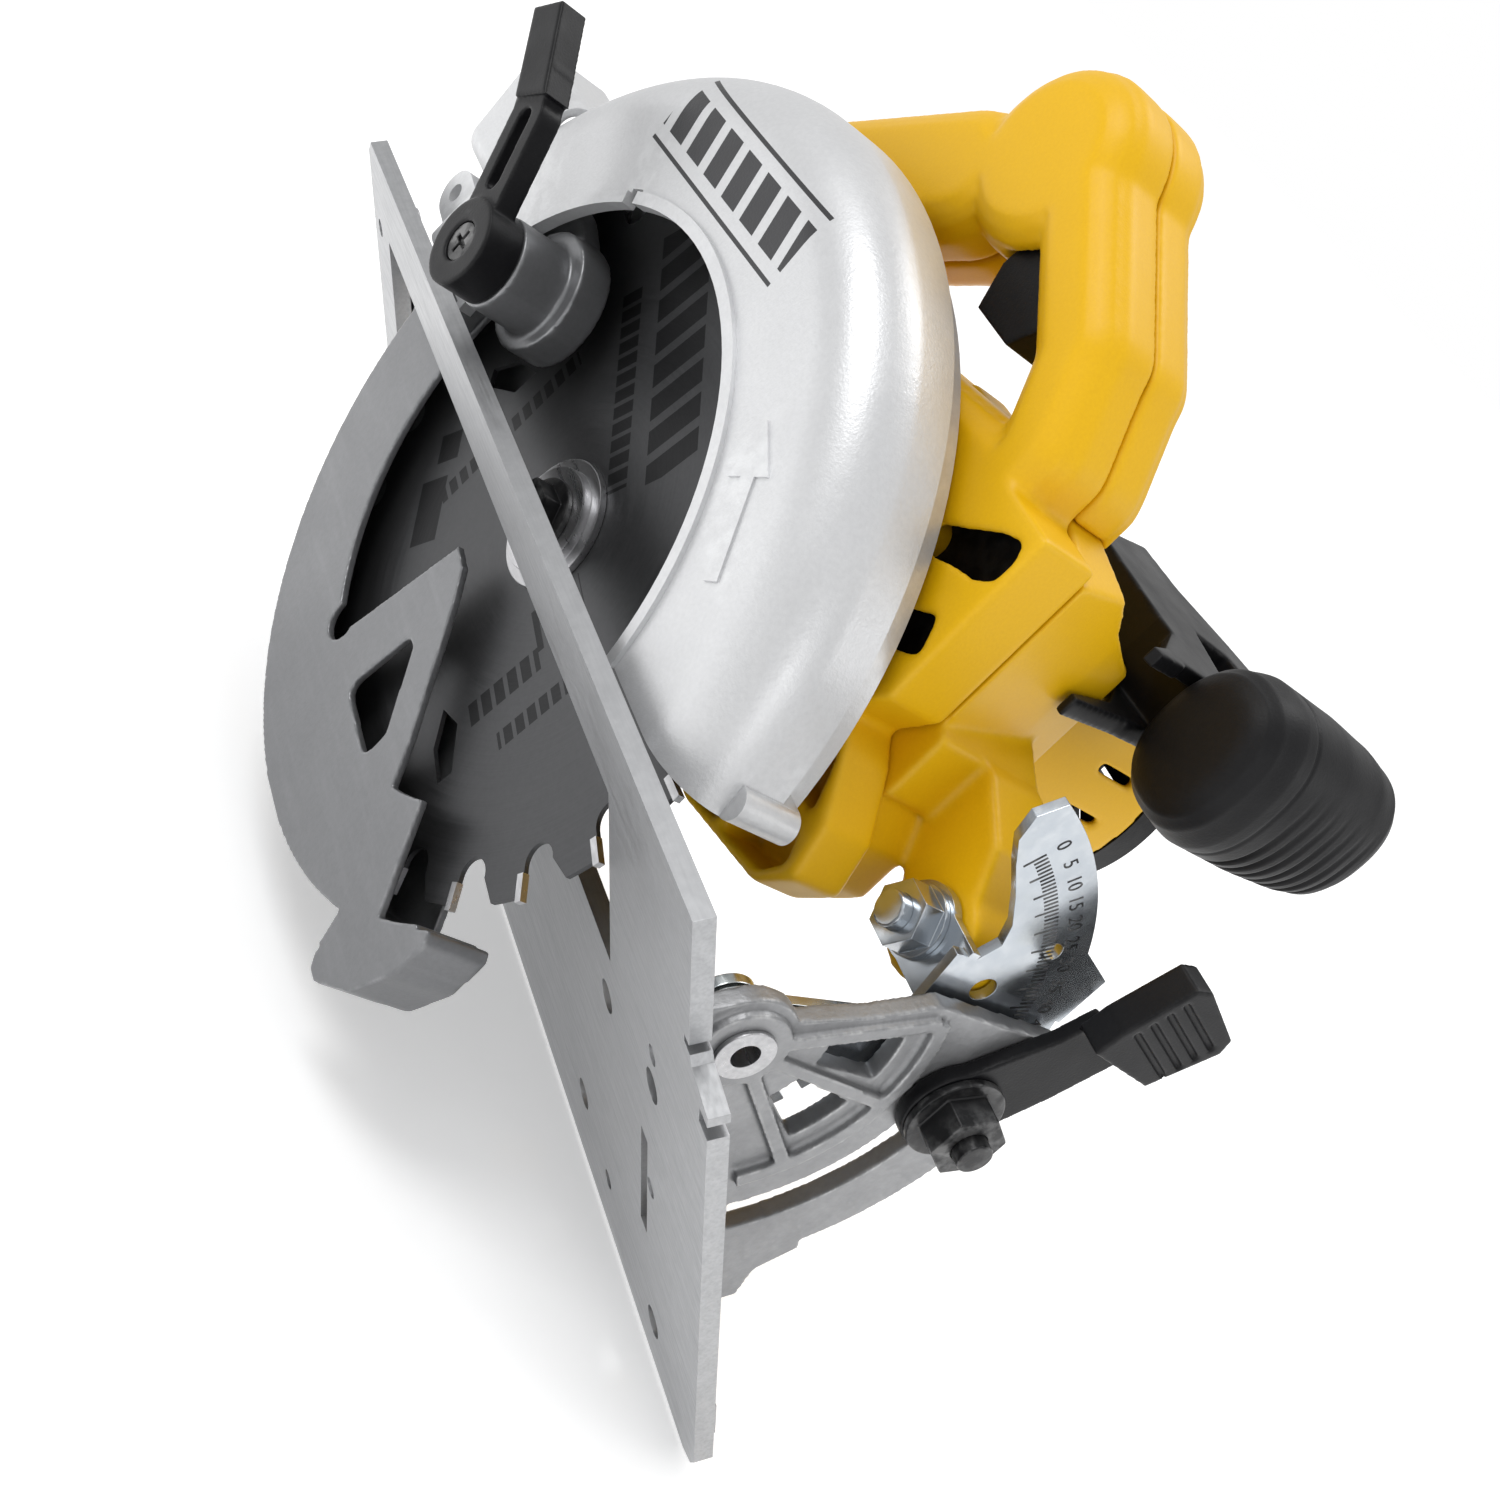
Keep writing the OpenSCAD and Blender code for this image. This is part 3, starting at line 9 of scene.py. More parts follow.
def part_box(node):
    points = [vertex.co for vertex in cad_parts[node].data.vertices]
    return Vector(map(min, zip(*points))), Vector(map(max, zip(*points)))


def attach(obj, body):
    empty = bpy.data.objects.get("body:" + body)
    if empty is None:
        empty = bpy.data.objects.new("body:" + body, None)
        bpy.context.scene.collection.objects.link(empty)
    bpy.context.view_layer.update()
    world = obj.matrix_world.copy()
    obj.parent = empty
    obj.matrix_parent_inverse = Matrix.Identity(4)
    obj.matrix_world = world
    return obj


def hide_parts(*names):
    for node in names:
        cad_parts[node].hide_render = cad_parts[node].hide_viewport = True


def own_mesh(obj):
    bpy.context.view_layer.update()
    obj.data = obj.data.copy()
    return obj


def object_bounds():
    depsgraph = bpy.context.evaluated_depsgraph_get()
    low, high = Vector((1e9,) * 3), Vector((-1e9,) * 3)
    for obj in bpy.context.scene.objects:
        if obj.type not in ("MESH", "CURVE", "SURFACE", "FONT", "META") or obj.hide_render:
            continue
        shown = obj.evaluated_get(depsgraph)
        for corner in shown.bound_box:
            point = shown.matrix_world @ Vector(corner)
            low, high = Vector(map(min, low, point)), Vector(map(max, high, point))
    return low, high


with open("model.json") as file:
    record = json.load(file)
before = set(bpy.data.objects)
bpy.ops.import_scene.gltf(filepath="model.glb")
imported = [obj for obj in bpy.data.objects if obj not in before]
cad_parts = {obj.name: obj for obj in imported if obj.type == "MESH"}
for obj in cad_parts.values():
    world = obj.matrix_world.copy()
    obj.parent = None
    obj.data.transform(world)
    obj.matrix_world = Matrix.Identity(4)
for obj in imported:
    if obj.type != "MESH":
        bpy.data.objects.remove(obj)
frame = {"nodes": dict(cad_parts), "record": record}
cad_box = [list(corner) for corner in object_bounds()]
record = frame["record"]
MM = 0.001
SLOT_OF = {part["node"]: part["material_slot"] for part in record["subparts"]}
BODY_OF = {node: body for body, nodes in record["behaviour"]["bodies"].items() for node in nodes}


# ---- camera and studio ----

CAMERA_PLACE = Vector((0.3781, -0.27104, 0.16312))
CAMERA_RIGHT = Vector((0.3156, 0.6789, 0.6629))
CAMERA_UP = Vector((-0.6655, -0.3396, 0.6646))
CAMERA_FORWARD = Vector((-0.6764, 0.6509, -0.3447))
LENS_MM = 51.1


def link(obj):
    bpy.context.scene.collection.objects.link(obj)
    return obj


def make_camera():
    data = bpy.data.cameras.new("camera")
    data.lens = LENS_MM
    data.sensor_width = 36
    data.clip_start = 0.01
    data.clip_end = 50
    camera = link(bpy.data.objects.new("camera", data))
    turn = Matrix((CAMERA_RIGHT, CAMERA_UP, -CAMERA_FORWARD)).transposed()
    camera.matrix_world = Matrix.Translation(CAMERA_PLACE) @ turn.to_4x4()
    bpy.context.scene.camera = camera


def area_light(name, place, target, size, power):
    data = bpy.data.lights.new(name, "AREA")
    data.shape = "DISK"
    data.size = size
    data.energy = power
    light = link(bpy.data.objects.new(name, data))
    light.location = place
    light.rotation_euler = (Vector(target) - Vector(place)).to_track_quat("-Z", "Y").to_euler()


# Name, place, size and power in watts of each soft light, all aimed at the middle of the saw
LIGHTS = (
    ("key", (-0.25, -0.8, 1.05), 0.6, 6.5),
    ("front", (1.3, -0.25, 0.35), 0.5, 1.5),
    ("top", (-0.3, 0.6, 1.3), 0.7, 5),
    ("side", (0.9, 1.2, 0.5), 0.7, 2),
)
SAW_MIDDLE = (0.0, 0.03, 0.02)
BACKDROP_SHOWN = 1.0
BACKDROP_LIGHT = 0.75


def make_studio():
    for name, place, size, power in LIGHTS:
        area_light(name, place, SAW_MIDDLE, size, power)
    world = bpy.data.worlds.new("studio")
    bpy.context.scene.world = world
    world.use_nodes = True
    tree = world.node_tree
    background = tree.nodes["Background"]
    background.inputs["Color"].default_value = (1.0, 1.0, 1.0, 1.0)
    # The backdrop itself is white, and gives less light than it shows
    shown = tree.nodes.new("ShaderNodeLightPath").outputs["Is Camera Ray"]
    strength = tree.nodes.new("ShaderNodeMapRange")
    strength.inputs["To Min"].default_value = BACKDROP_LIGHT
    strength.inputs["To Max"].default_value = BACKDROP_SHOWN
    tree.links.new(shown, strength.inputs["Value"])
    tree.links.new(strength.outputs[0], background.inputs["Strength"])
    bpy.context.scene.view_settings.view_transform = "Standard"


# ---- shader graphs ----

class Graph:
    """A material whose nodes are added by short calls."""

    def __init__(self, name):
        self.material = bpy.data.materials.new(name)
        self.material.use_nodes = True
        self.tree = self.material.node_tree
        self.tree.nodes.clear()
        self.shader = self.add("ShaderNodeBsdfPrincipled")
        self.join(self.shader.outputs[0], self.add("ShaderNodeOutputMaterial").inputs[0])
        self.place = self.add("ShaderNodeTexCoord").outputs["Object"]

    def add(self, kind, **settings):
        node = self.tree.nodes.new(kind)
        for key, value in settings.items():
            setattr(node, key, value)
        return node

    def join(self, source, socket):
        self.tree.links.new(source, socket)

    def feed(self, socket, value):
        if isinstance(value, bpy.types.NodeSocket):
            self.join(value, socket)
        else:
            socket.default_value = value

    def math(self, operation, *values):
        node = self.add("ShaderNodeMath", operation=operation)
        for socket, value in zip(node.inputs, values):
            self.feed(socket, value)
        return node.outputs[0]

    def axes(self):
        node = self.add("ShaderNodeSeparateXYZ")
        self.join(self.place, node.inputs[0])
        return node.outputs[0], node.outputs[1], node.outputs[2]

    def point(self, x, y, z):
        node = self.add("ShaderNodeCombineXYZ")
        for socket, value in zip(node.inputs, (x, y, z)):
            self.feed(socket, value)
        return node.outputs[0]

    def noise(self, scale, detail=3.0, vector=None, rough=0.55):
        node = self.add("ShaderNodeTexNoise")
        node.inputs["Scale"].default_value = scale
        node.inputs["Detail"].default_value = detail
        node.inputs["Roughness"].default_value = rough
        self.join(vector or self.place, node.inputs["Vector"])
        return node.outputs["Fac"]

    def remap(self, value, low, high, to_low=0.0, to_high=1.0):
        node = self.add("ShaderNodeMapRange")
        for socket, number in zip(node.inputs, (value, low, high, to_low, to_high)):
            self.feed(socket, number)
        return node.outputs[0]

    def mix(self, factor, a, b):
        node = self.add("ShaderNodeMix", data_type="RGBA")
        self.feed(node.inputs[0], factor)
        for socket, value in ((node.inputs[6], a), (node.inputs[7], b)):
            self.feed(socket, value if isinstance(value, bpy.types.NodeSocket) else (*value, 1.0))
        return node.outputs[2]

    def edges(self, low=0.51, high=0.56):
        return self.remap(self.add("ShaderNodeNewGeometry").outputs["Pointiness"], low, high)

    def box(self, across, along, centre, degrees, half):
        """1 inside a turned rectangle in the plane of two coordinates, with its own coordinates."""
        c, s = math.cos(math.radians(degrees)), math.sin(math.radians(degrees))
        dx = self.math("SUBTRACT", across, centre[0] * MM)
        dz = self.math("SUBTRACT", along, centre[1] * MM)
        u = self.math("ADD", self.math("MULTIPLY", dx, c), self.math("MULTIPLY", dz, s))
        v = self.math("SUBTRACT", self.math("MULTIPLY", dz, c), self.math("MULTIPLY", dx, s))
        in_u = self.math("LESS_THAN", self.math("ABSOLUTE", u), half[0] * MM)
        in_v = self.math("LESS_THAN", self.math("ABSOLUTE", v), half[1] * MM)
        return self.math("MULTIPLY", in_u, in_v), u, v


def surface(name, tint, shade, metallic, rough, patch=30, grain=1200, height=0.00004, spread=0.12,
            wear=0.0, wear_tint=(0.5, 0.5, 0.5), hollow_dark=0.25, patchy=0.5):
    """The base of every material: patches of tone, darker colour in hollows, worn edges, uneven gloss and
    grain.
    """
    g = Graph(name)
    patches = g.remap(g.noise(patch, 5), 0.3, 0.75, 0.0, patchy)
    colour = g.mix(patches, tint, shade)
    speck = g.remap(g.noise(grain * 0.6, 2), 0.3, 0.75, 0.0, 0.35)
    colour = g.mix(speck, colour, shade)
    # Colour is made darker in hollows, where the surface curves inwards, read from pointiness
    hollow = g.math("MULTIPLY", g.edges(0.48, 0.42), hollow_dark)
    colour = g.mix(hollow, colour, tuple(c * 0.25 for c in shade))
    if wear:
        broken = g.remap(g.noise(260, 5), 0.42, 0.62)
        colour = g.mix(g.math("MULTIPLY", g.math("MULTIPLY", g.edges(), broken), wear), colour, wear_tint)
    g.colour = colour
    g.rough = g.remap(g.noise(patch * 2.3, 6), 0.3, 0.7, rough - spread / 2, rough + spread / 2)
    bump = g.add("ShaderNodeBump")
    bump.inputs["Strength"].default_value = 1.0
    bump.inputs["Distance"].default_value = height
    relief = g.math("ADD", g.noise(grain, 3), g.math("MULTIPLY", g.noise(grain * 0.12, 2), 0.8))
    g.join(relief, bump.inputs["Height"])
    g.shader.inputs["Metallic"].default_value = metallic
    g.join(bump.outputs[0], g.shader.inputs["Normal"])
    return g


def close(g, shine=0.5):
    g.shader.inputs["Specular IOR Level"].default_value = shine
    g.join(g.colour, g.shader.inputs["Base Color"])
    g.join(g.rough, g.shader.inputs["Roughness"])
    return g.material


def guard_paint():
    g = surface("guard_paint", (0.64, 0.645, 0.655), (0.5, 0.505, 0.515), 0.5, 0.4, patch=24,
                grain=1500, height=0.00006, wear=0.35, wear_tint=(0.78, 0.79, 0.8), patchy=0.35)
    x, y, z = g.axes()
    front = g.math("LESS_THAN", y, -12 * MM)
    block, u, v = g.box(x, z, (-11, 86.5), 3.5, (36, 9.5))
    lines = g.math("GREATER_THAN", g.math("ABSOLUTE", v), 8.5 * MM)
    slant = g.math("FRACT", g.math("DIVIDE", g.math("ADD", u, g.math("MULTIPLY", v, 0.25)), 11 * MM))
    bars = g.math("MULTIPLY", g.math("LESS_THAN", slant, 0.68),
                  g.math("LESS_THAN", g.math("ABSOLUTE", v), 5.6 * MM))
    ink = g.math("MULTIPLY", g.math("MULTIPLY", block, front), g.math("MAXIMUM", lines, bars))
    g.colour = g.mix(ink, g.colour, (0.045, 0.045, 0.048))
    return close(g)


def guard_grey():
    g = surface("guard_grey", (0.2, 0.203, 0.21), (0.15, 0.153, 0.16), 0.65, 0.36, patch=18,
                grain=1300, height=0.00004, wear=0.4, wear_tint=(0.5, 0.5, 0.51), hollow_dark=0.0, patchy=0.3)
    x, y, z = g.axes()
    streak = g.noise(1.0, 4, g.point(g.math("MULTIPLY", x, 30.0), 0.0, g.math("MULTIPLY", z, 260.0)))
    g.colour = g.mix(g.remap(streak, 0.5, 0.8, 0.0, 0.2), g.colour, (0.3, 0.305, 0.315))
    return close(g)


# Plain printed blocks and rows of dashes on the blade: centre in X and Z in mm, turn in degrees, half size
# in mm, pitch of the dashes in mm, share of the pitch that is inked, and how far the dashes lean
BLADE_PRINT = (
    ((-12, 48), -29, (34, 8), 9.0, 0.7, 0.25),
    ((-17, 31), -29, (28, 3.2), 4.5, 0.72, 0.0),
    ((-42, -2), -96, (26, 2.4), 4.0, 0.66, 0.0),
    ((-45, -33), -36, (9, 5), 30.0, 1.0, 0.0),
    ((-57, -20), -36, (4, 4), 30.0, 1.0, 0.0),
    ((22, -9), -100, (8, 6), 6.0, 0.72, 0.0),
    ((26, -30), -100, (12, 3.2), 4.5, 0.7, 0.0),
    ((40, -24), -100, (13, 2.4), 4.0, 0.7, 0.0),
)


def blade_steel():
    g = surface("blade_steel", (0.075, 0.076, 0.079), (0.05, 0.051, 0.054), 0.8, 0.42, patch=9,
                grain=1500, height=0.00001, spread=0.03, hollow_dark=0.0, patchy=0.3)
    x, y, z = g.axes()
    radius = g.math("SQRT", g.math("ADD", g.math("MULTIPLY", x, x), g.math("MULTIPLY", z, z)))
    angle = g.math("ARCTAN2", z, x)
    # Fine rings of brushing: many lines to the millimetre outwards, long ones round the blade
    turned = g.point(g.math("MULTIPLY", radius, 2600.0), g.math("MULTIPLY", angle, 1.6), 0.0)
    rings = g.noise(1.0, 4, turned)
    g.colour = g.mix(g.remap(rings, 0.4, 0.75, 0.0, 0.35), g.colour, (0.12, 0.12, 0.125))
    g.rough = g.math("ADD", g.rough, g.remap(rings, 0.3, 0.7, -0.06, 0.1))
    right_side = g.math("LESS_THAN", y, -0.3 * MM)
    ink = 0.0
    for centre, turn, half, pitch, fill, slope in BLADE_PRINT:
        block, u, v = g.box(x, z, centre, turn, half)
        run = g.math("FRACT", g.math("DIVIDE", g.math("ADD", u, g.math("MULTIPLY", v, slope)), pitch * MM))
        ink = g.math("MAXIMUM", ink, g.math("MULTIPLY", block, g.math("LESS_THAN", run, fill)))
    ink = g.math("MULTIPLY", ink, right_side)
    g.colour = g.mix(g.math("MULTIPLY", ink, 0.85), g.colour, (0.012, 0.012, 0.013))
    return close(g)


def brushed(name, tint, shade, rough, stretch=(1.0, 40.0, 40.0), wear=0.3, metallic=0.95):
    g = surface(name, tint, shade, metallic, rough, patch=9, grain=900, height=0.00001, spread=0.05,
                wear=wear, wear_tint=tuple(min(1.0, c * 1.35) for c in tint), hollow_dark=0.0, patchy=0.25)
    x, y, z = g.axes()
    lines = g.noise(22.0, 6, g.point(*[g.math("MULTIPLY", a, s) for a, s in zip((x, y, z), stretch)]))
    g.colour = g.mix(g.remap(lines, 0.4, 0.75, 0.0, 0.45), g.colour, shade)
    g.rough = g.math("ADD", g.rough, g.remap(lines, 0.3, 0.7, -0.05, 0.09))
    return close(g)


def plated():
    g = surface("plated", (0.5, 0.53, 0.56), (0.38, 0.42, 0.47), 0.95, 0.2, patch=45, grain=500,
                height=0.000008, spread=0.14, wear=0.4, wear_tint=(0.8, 0.81, 0.81))
    g.colour = g.mix(g.remap(g.noise(38, 3), 0.55, 0.75, 0.0, 0.4), g.colour, (0.5, 0.51, 0.4))
    return close(g)


def yellow():
    g = surface("yellow", (0.74, 0.43, 0.002), (0.64, 0.34, 0.002), 0.0, 0.42, patch=14, grain=2200,
                height=0.00003, wear=0.2, wear_tint=(0.85, 0.6, 0.08), hollow_dark=0.5)
    return close(g, 0.28)


def floor():
    g = surface("floor", (0.97, 0.97, 0.97), (0.95, 0.95, 0.95), 0.0, 0.8, patch=3, grain=200,
                height=0.00002, hollow_dark=0.0)
    g.shader.inputs["Emission Color"].default_value = (1.0, 1.0, 1.0, 1.0)
    g.shader.inputs["Emission Strength"].default_value = 0.32
    return close(g, 0.2)


# Tint, shade, metal share, roughness, gloss and further settings of each material with no pattern
PLAIN = {
    "cast_metal": ((0.33, 0.333, 0.34), (0.2, 0.203, 0.21), 0.75, 0.46, 0.5,
                   {"patch": 60, "grain": 900, "height": 0.0001, "wear": 0.7,
                    "wear_tint": (0.62, 0.62, 0.62), "hollow_dark": 0.8}),
    "black_plastic": ((0.008, 0.008, 0.009), (0.004, 0.004, 0.005), 0.0, 0.4, 0.18,
                      {"patch": 30, "grain": 1800, "height": 0.00004, "wear": 0.4,
                       "wear_tint": (0.035, 0.035, 0.035)}),
    "black_rubber": ((0.009, 0.009, 0.01), (0.005, 0.005, 0.006), 0.0, 0.5, 0.18,
                     {"patch": 40, "grain": 1400, "height": 0.00006, "wear": 0.3,
                      "wear_tint": (0.03, 0.03, 0.03)}),
    "black_metal": ((0.016, 0.016, 0.017), (0.009, 0.009, 0.01), 0.5, 0.34, 0.5,
                    {"patch": 90, "grain": 900, "height": 0.00002, "wear": 0.7,
                     "wear_tint": (0.2, 0.2, 0.2)}),
    "copper": ((0.6, 0.25, 0.1), (0.4, 0.15, 0.06), 0.9, 0.35, 0.5, {}),
    "brass": ((0.65, 0.46, 0.16), (0.5, 0.34, 0.11), 0.9, 0.32, 0.5, {}),
    "carbon": ((0.03, 0.03, 0.03), (0.018, 0.018, 0.018), 0.1, 0.6, 0.5, {}),
}


def plain(name):
    tint, shade, metallic, rough, shine, more = PLAIN[name]
    return close(surface(name, tint, shade, metallic, rough, **more), shine)


MATERIALS = {
    "guard_paint": guard_paint(),
    "guard_grey": guard_grey(),
    "blade_steel": blade_steel(),
    "steel": brushed("steel", (0.5, 0.5, 0.51), (0.32, 0.32, 0.33), 0.3),
    "plated": plated(),
    "shoe_metal": brushed("shoe_metal", (0.43, 0.435, 0.445), (0.31, 0.315, 0.325), 0.4,
                          stretch=(3.0, 60.0, 60.0), wear=0.15),
    "yellow": yellow(),
    "floor": floor(),
    **{name: plain(name) for name in PLAIN},
}


# ---- pieces made from CAD nodes ----

def add_piece(name, mesh, body, slot, replaced=None):
    obj = link(bpy.data.objects.new(name, mesh))
    if not mesh.materials:
        mesh.materials.append(MATERIALS[slot])
    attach(obj, body)
    if replaced:
        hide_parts(replaced)
    return obj


def welded_copy(node):
    """A closed mesh of the node, with its flat faces joined into one each."""
    work = bmesh.new()
    work.from_mesh(frame["nodes"][node].data)
    bmesh.ops.remove_doubles(work, verts=work.verts, dist=2e-6)
    bmesh.ops.dissolve_limit(work, angle_limit=math.radians(0.3), verts=work.verts, edges=work.edges)
    mesh = bpy.data.meshes.new(node)
    work.to_mesh(mesh)
    work.free()
    for layer in [a for a in mesh.attributes if a.name in ("custom_normal", "sharp_edge", "sharp_face")]:
        mesh.attributes.remove(layer)
    mesh.materials.clear()
    return mesh


def with_modifiers(mesh, steps):
    """The mesh after a list of modifiers, each a type and its settings."""
    obj = link(bpy.data.objects.new("work", mesh))
    for kind, settings in steps:
        modifier = obj.modifiers.new(kind.lower(), kind)
        for key, value in settings.items():
            setattr(modifier, key, value)
    bpy.context.view_layer.update()
    graph = bpy.context.evaluated_depsgraph_get()
    made = bpy.data.meshes.new_from_object(obj.evaluated_get(graph))
    bpy.data.objects.remove(obj)
    return made


def rounded(node, voxel, passes, keep=0.6):
    """A moulded or cast node: remeshed and relaxed, so that its edges come out soft."""
    mesh = with_modifiers(welded_copy(node), [
        ("REMESH", {"mode": "VOXEL", "voxel_size": voxel * MM}),
        ("SMOOTH", {"factor": 0.5, "iterations": passes}),
        ("DECIMATE", {"ratio": keep}),
    ])
    for face in mesh.polygons:
        face.use_smooth = True
    mesh.materials.clear()
    add_piece("soft_" + node, mesh, BODY_OF[node], SLOT_OF[node], node)


def bevelled(node, width, segments=2):
    """A machined or pressed node: its sharp edges get a narrow bevel that catches the light."""
    mesh = with_modifiers(welded_copy(node), [
        ("BEVEL", {"width": width * MM, "segments": segments, "limit_method": "ANGLE",
                   "angle_limit": math.radians(35), "use_clamp_overlap": True}),
        ("TRIANGULATE", {}),
    ])
    for face in mesh.polygons:
        face.use_smooth = True
    mesh.set_sharp_from_angle(angle=math.radians(32))
    # The wide faces set the normals, so they stay flat beside their bevels
    mesh = with_modifiers(mesh, [
        ("WEIGHTED_NORMAL", {"mode": "FACE_AREA_WITH_ANGLE", "weight": 100, "keep_sharp": True}),
    ])
    mesh.materials.clear()
    add_piece("edge_" + node, mesh, BODY_OF[node], SLOT_OF[node], node)


# Voxel size in mm, smoothing passes and share of faces kept
ROUNDED = {
    "right_housing": (0.85, 18, 0.5), "handle_left": (0.85, 22, 0.5), "motor_housing": (0.85, 9, 0.5),
    "aux_bracket": (0.6, 6, 0.5), "trigger": (0.4, 9, 0.5), "guard_lever": (0.4, 6, 0.5),
    "bevel_lever": (0.4, 6, 0.5), "depth_lever": (0.4, 6, 0.5), "front_support": (0.5, 3, 0.5),
    "rear_support": (0.5, 3, 0.5), "lower_guard": (0.5, 7, 0.5),
}
# Bevel width in mm
BEVELLED = {
    "upper_guard": 0.7, "shoe_plate": 0.6, "bevel_bracket": 0.4, "stop_plate": 0.3,
    "depth_arc": 0.4, "outer_flange": 0.4, "blade_bolt": 0.4, "pivot_eyelet": 0.3, "depth_pivot_bolt": 0.5,
    "pivot_nut": 0.5, "bevel_bolt": 0.4, "bevel_nut": 0.5, "end_cap": 0.6, "cord_inlet": 0.5,
    "lock_button": 0.5, "lever_screw": 0.25, "depth_bolt": 0.4, "depth_nut": 0.4, "support_rivets": 0.4,
    "rear_pin": 0.4, "guard_screws": 0.3,
}


def spring(node):
    """A coil: the node's welded mesh, smooth-shaded, as a piece with a mesh of its own."""
    mesh = welded_copy(node)
    for face in mesh.polygons:
        face.use_smooth = True
    piece = add_piece("coil_" + node, mesh, BODY_OF[node], SLOT_OF[node], node)
    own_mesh(piece)


# ---- auxiliary grip ----

def make_grip():
    """A tapered oval grip along +Y with a row of grooves under its outer half."""
    low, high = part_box("aux_grip")
    centre = (low + high) / 2
    half = (high - low) / 2
    rings, around, power = 130, 96, 2.35
    ends = ((0.0, 0.5), (0.012, 0.68), (0.04, 0.82), (0.09, 0.92), (0.2, 1.0), (0.5, 0.985), (0.75, 0.93),
            (0.88, 0.86), (0.95, 0.74), (0.985, 0.56), (1.0, 0.4))

    def girth(s):
        for (s0, f0), (s1, f1) in zip(ends, ends[1:]):
            if s <= s1:
                t = (s - s0) / (s1 - s0)
                return f0 + (f1 - f0) * (t * t * (3 - 2 * t) * 0.35 + t * 0.65)
        return ends[-1][1]

    work = bmesh.new()
    loops = []
    for i in range(rings + 1):
        s = i / rings
        loop = []
        for k in range(around):
            a = 2 * math.pi * k / around
            c, n = math.cos(a), math.sin(a)
            x = math.copysign(abs(c) ** (2 / power), c)
            z = math.copysign(abs(n) ** (2 / power), n)
            f = girth(s)
            # Grooves where the fingers close, below and in front
            under = max(0.0, math.cos(a - math.radians(-60))) ** 1.5
            wave = max(0.0, math.sin(2 * math.pi * (s - 0.36) / 0.075)) if 0.36 < s < 0.9 else 0.0
            f -= 0.085 * under * wave
            # A shallow panel line round the grip
            f -= 0.02 * math.exp(-((s - 0.27) / 0.008) ** 2)
            loop.append(work.verts.new((centre.x + half.x * x * f * 0.99, low.y + s * 2 * half.y,
                                        centre.z + half.z * z * f * 0.99)))
        loops.append(loop)
    for a, b in zip(loops, loops[1:]):
        for k in range(around):
            j = (k + 1) % around
            work.faces.new((a[k], a[j], b[j], b[k]))
    work.faces.new(list(reversed(loops[0])))
    work.faces.new(loops[-1])
    bmesh.ops.recalc_face_normals(work, faces=work.faces)
    mesh = bpy.data.meshes.new("grip")
    work.to_mesh(mesh)
    work.free()
    for face in mesh.polygons:
        face.use_smooth = True
    add_piece("grip_cover", mesh, "motor_body", "black_rubber", "aux_grip")


# ---- scales ----

def block(work, x0, x1, centre, radial, radius0, radius1, width):
    """A small bar standing on a plate that faces +X, laid along a radius."""
    side = Vector((0, -radial.z, radial.y))
    corners = []
    for x in (x0, x1):
        for r, w in ((radius0, -1), (radius1, -1), (radius1, 1), (radius0, 1)):
            p = centre + radial * r + side * (w * width / 2)
            corners.append(work.verts.new((x, p.y, p.z)))
    for face in ((0, 1, 2, 3), (7, 6, 5, 4), (0, 4, 5, 1), (1, 5, 6, 2), (2, 6, 7, 3), (3, 7, 4, 0)):
        work.faces.new([corners[i] for i in face])


# The bevel scale, in mm and degrees: marks on the front face of the bevel bracket, one to a degree
SCALE_AXIS_Y, SCALE_AXIS_Z = 9, -14
SCALE_ZERO = 66
SCALE_COUNT = 50
MARK_RADIUS, MARK_LONG, MARK_SHORT, MARK_WIDTH = 68.0, 5.0, 3.0, 0.42
DIGIT_RADIUS, DIGIT_SIZE = 71.6, 4.4
# How far the ink lies under and over the face
INK_UNDER, INK_OVER = 0.05, 0.08


def digits_mesh(number):
    curve = bpy.data.curves.new("digits", "FONT")
    curve.body = str(number)
    curve.size = DIGIT_SIZE * MM
    curve.extrude = 0.05 * MM
    curve.align_x = "CENTER"
    curve.align_y = "CENTER"
    obj = link(bpy.data.objects.new("digits", curve))
    bpy.context.view_layer.update()
    mesh = bpy.data.meshes.new_from_object(obj.evaluated_get(bpy.context.evaluated_depsgraph_get()))
    bpy.data.objects.remove(obj)
    return mesh


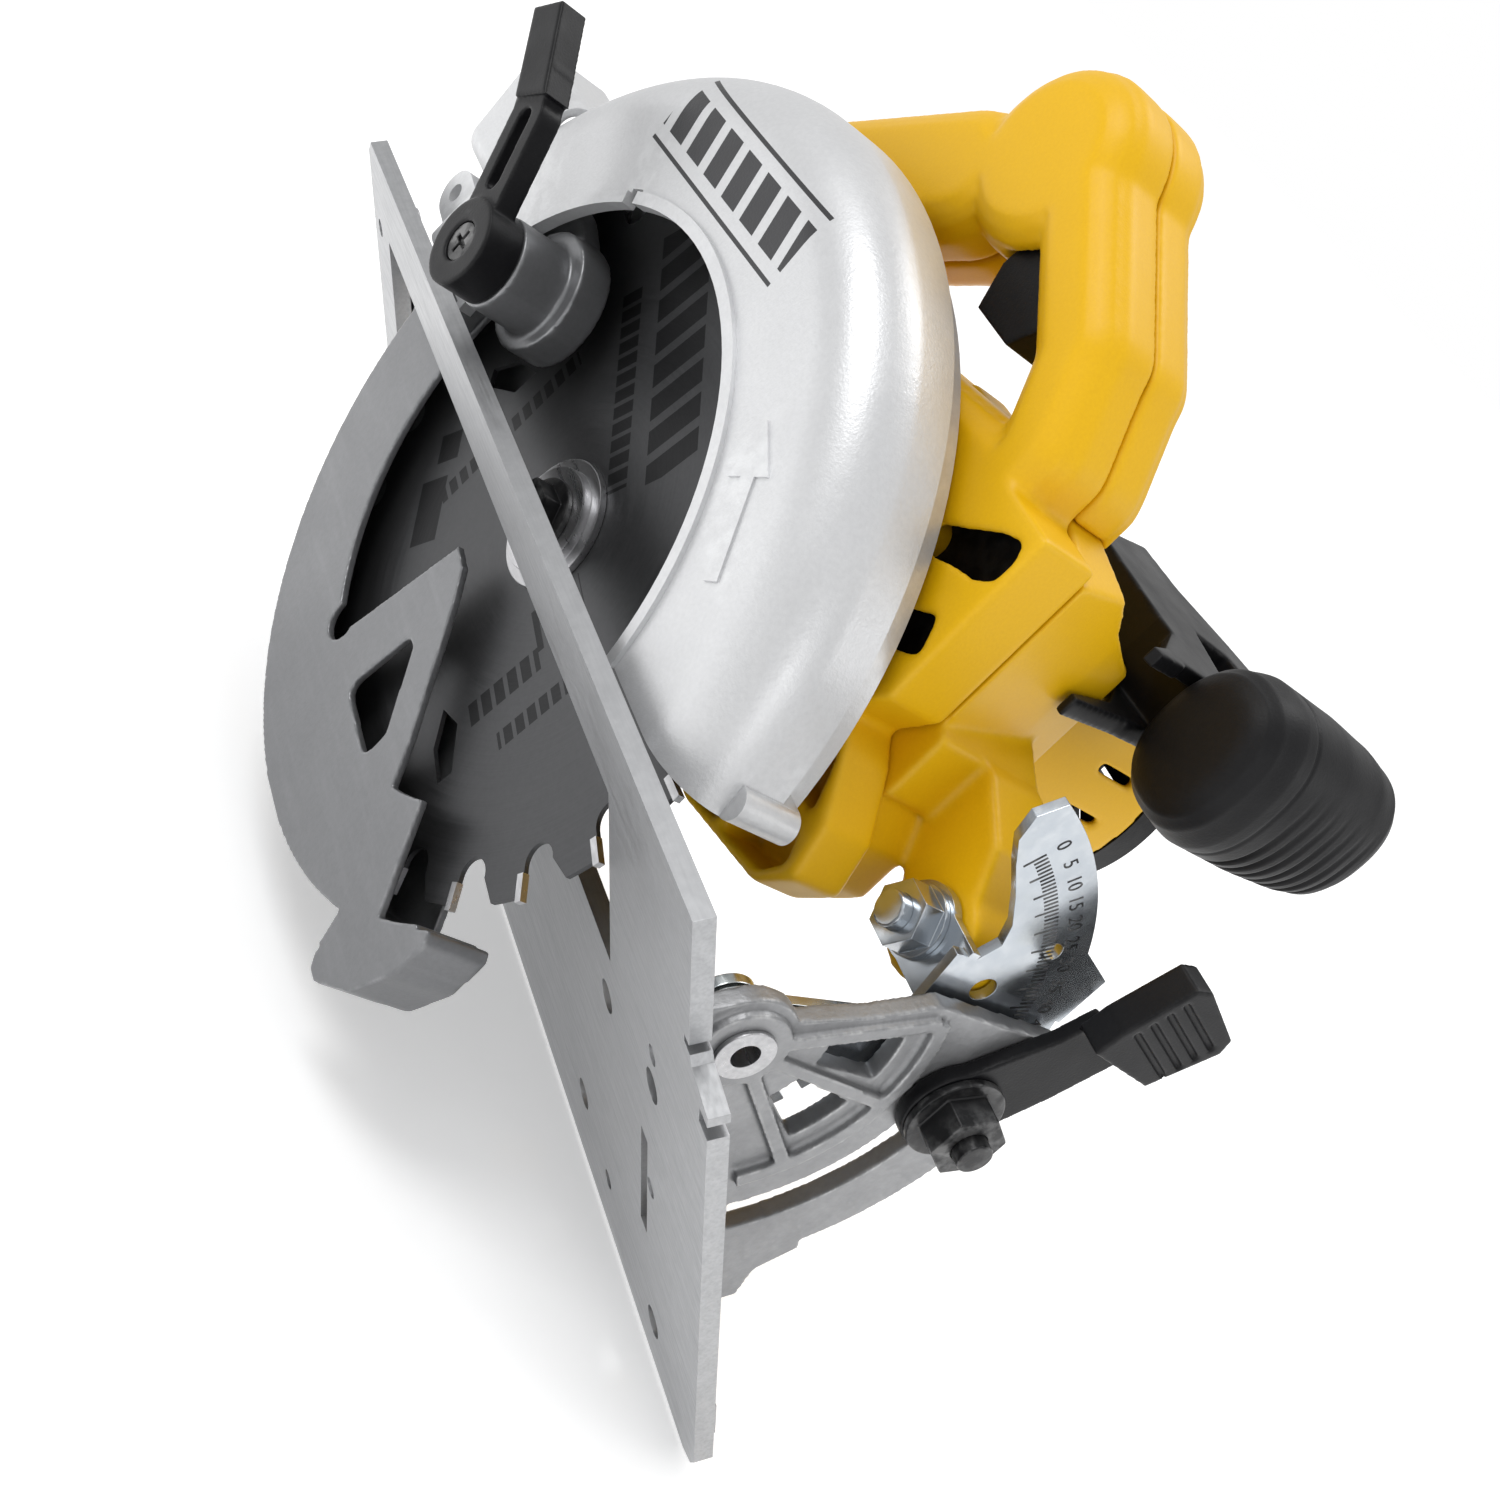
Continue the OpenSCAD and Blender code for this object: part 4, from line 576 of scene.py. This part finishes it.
def make_scale():
    """Marks and plain numbers round the bevel axis, as one thin inked piece."""
    face_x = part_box("bevel_bracket")[1].x
    centre = Vector((0, SCALE_AXIS_Y * MM, SCALE_AXIS_Z * MM))
    outwards = [Vector((0, math.cos(a), math.sin(a)))
                for a in (math.radians(SCALE_ZERO - i) for i in range(SCALE_COUNT + 1))]
    work = bmesh.new()
    for i, radial in enumerate(outwards):
        size = MARK_LONG if i % 5 == 0 else MARK_SHORT
        block(work, face_x - INK_UNDER * MM, face_x + INK_OVER * MM, centre, radial,
              (MARK_RADIUS - size) * MM, MARK_RADIUS * MM, MARK_WIDTH * MM)
    bmesh.ops.recalc_face_normals(work, faces=work.faces)
    for i, radial in list(enumerate(outwards))[::5]:
        flat = digits_mesh(i)
        # The digits stand outwards and face along +X
        turn = Matrix((radial.cross(Vector((1, 0, 0))), radial, Vector((1, 0, 0)))).transposed().to_4x4()
        place = centre + radial * DIGIT_RADIUS * MM
        flat.transform(Matrix.Translation((face_x + 0.02 * MM, place.y, place.z)) @ turn)
        work.from_mesh(flat)
    mesh = bpy.data.meshes.new("bevel_scale")
    work.to_mesh(mesh)
    work.free()
    add_piece("bevel_scale", mesh, "bracket_body", "black_metal")


# ---- dark sheet: painted shade behind the vents ----

def plate(name, outline, y0, y1, body, slot):
    """A flat piece across Y with an outline in X and Z, in millimetres, its rim bevelled."""
    work = bmesh.new()
    face = work.faces.new([work.verts.new((x * MM, y0 * MM, z * MM)) for x, z in outline])
    grown = bmesh.ops.extrude_face_region(work, geom=[face])
    moved = [v for v in grown["geom"] if isinstance(v, bmesh.types.BMVert)]
    bmesh.ops.translate(work, verts=moved, vec=(0, (y1 - y0) * MM, 0))
    bmesh.ops.recalc_face_normals(work, faces=work.faces)
    bmesh.ops.bevel(work, geom=list(work.edges), offset=0.2 * MM, segments=2, affect="EDGES")
    mesh = bpy.data.meshes.new(name)
    work.to_mesh(mesh)
    work.free()
    add_piece(name, mesh, body, slot)


# Outline in X and Z and the two faces in Y of the dark sheet behind the vents of the right housing, in mm:
# painted shade for the inside of the housing
VENT_SHADE_OUTLINE = [(62, 34), (80, 31), (93, 42), (94.4, 60), (94.4, 85), (84, 85), (64, 76)]
VENT_SHADE_FACES = (26, 27.5)


# ---- floor ----

FLOOR_HALF = 40.0
FLOOR_GAP = 0.0005


def make_floor():
    ground = cad_box[0][2] - FLOOR_GAP
    corners = [(-1, -1), (1, -1), (1, 1), (-1, 1)]
    mesh = bpy.data.meshes.new("floor")
    mesh.from_pydata([(x * FLOOR_HALF, y * FLOOR_HALF, ground) for x, y in corners], [], [(0, 1, 2, 3)])
    mesh.materials.append(MATERIALS["floor"])
    link(bpy.data.objects.new("floor", mesh))


# ---- build ----

make_camera()
make_studio()
for node, obj in frame["nodes"].items():
    obj.data.materials.clear()
    obj.data.materials.append(MATERIALS[SLOT_OF[node]])
for node, (voxel, passes, keep) in ROUNDED.items():
    rounded(node, voxel, passes, keep)
for node, width in BEVELLED.items():
    bevelled(node, width)
make_grip()
spring("lock_spring")
spring("trigger_spring")
make_scale()
# A dark sheet behind the vents of the right housing: painted shade for the inside of the housing
plate("vent_shade_sheet", VENT_SHADE_OUTLINE, *VENT_SHADE_FACES, "motor_body", "black_plastic")
make_floor()
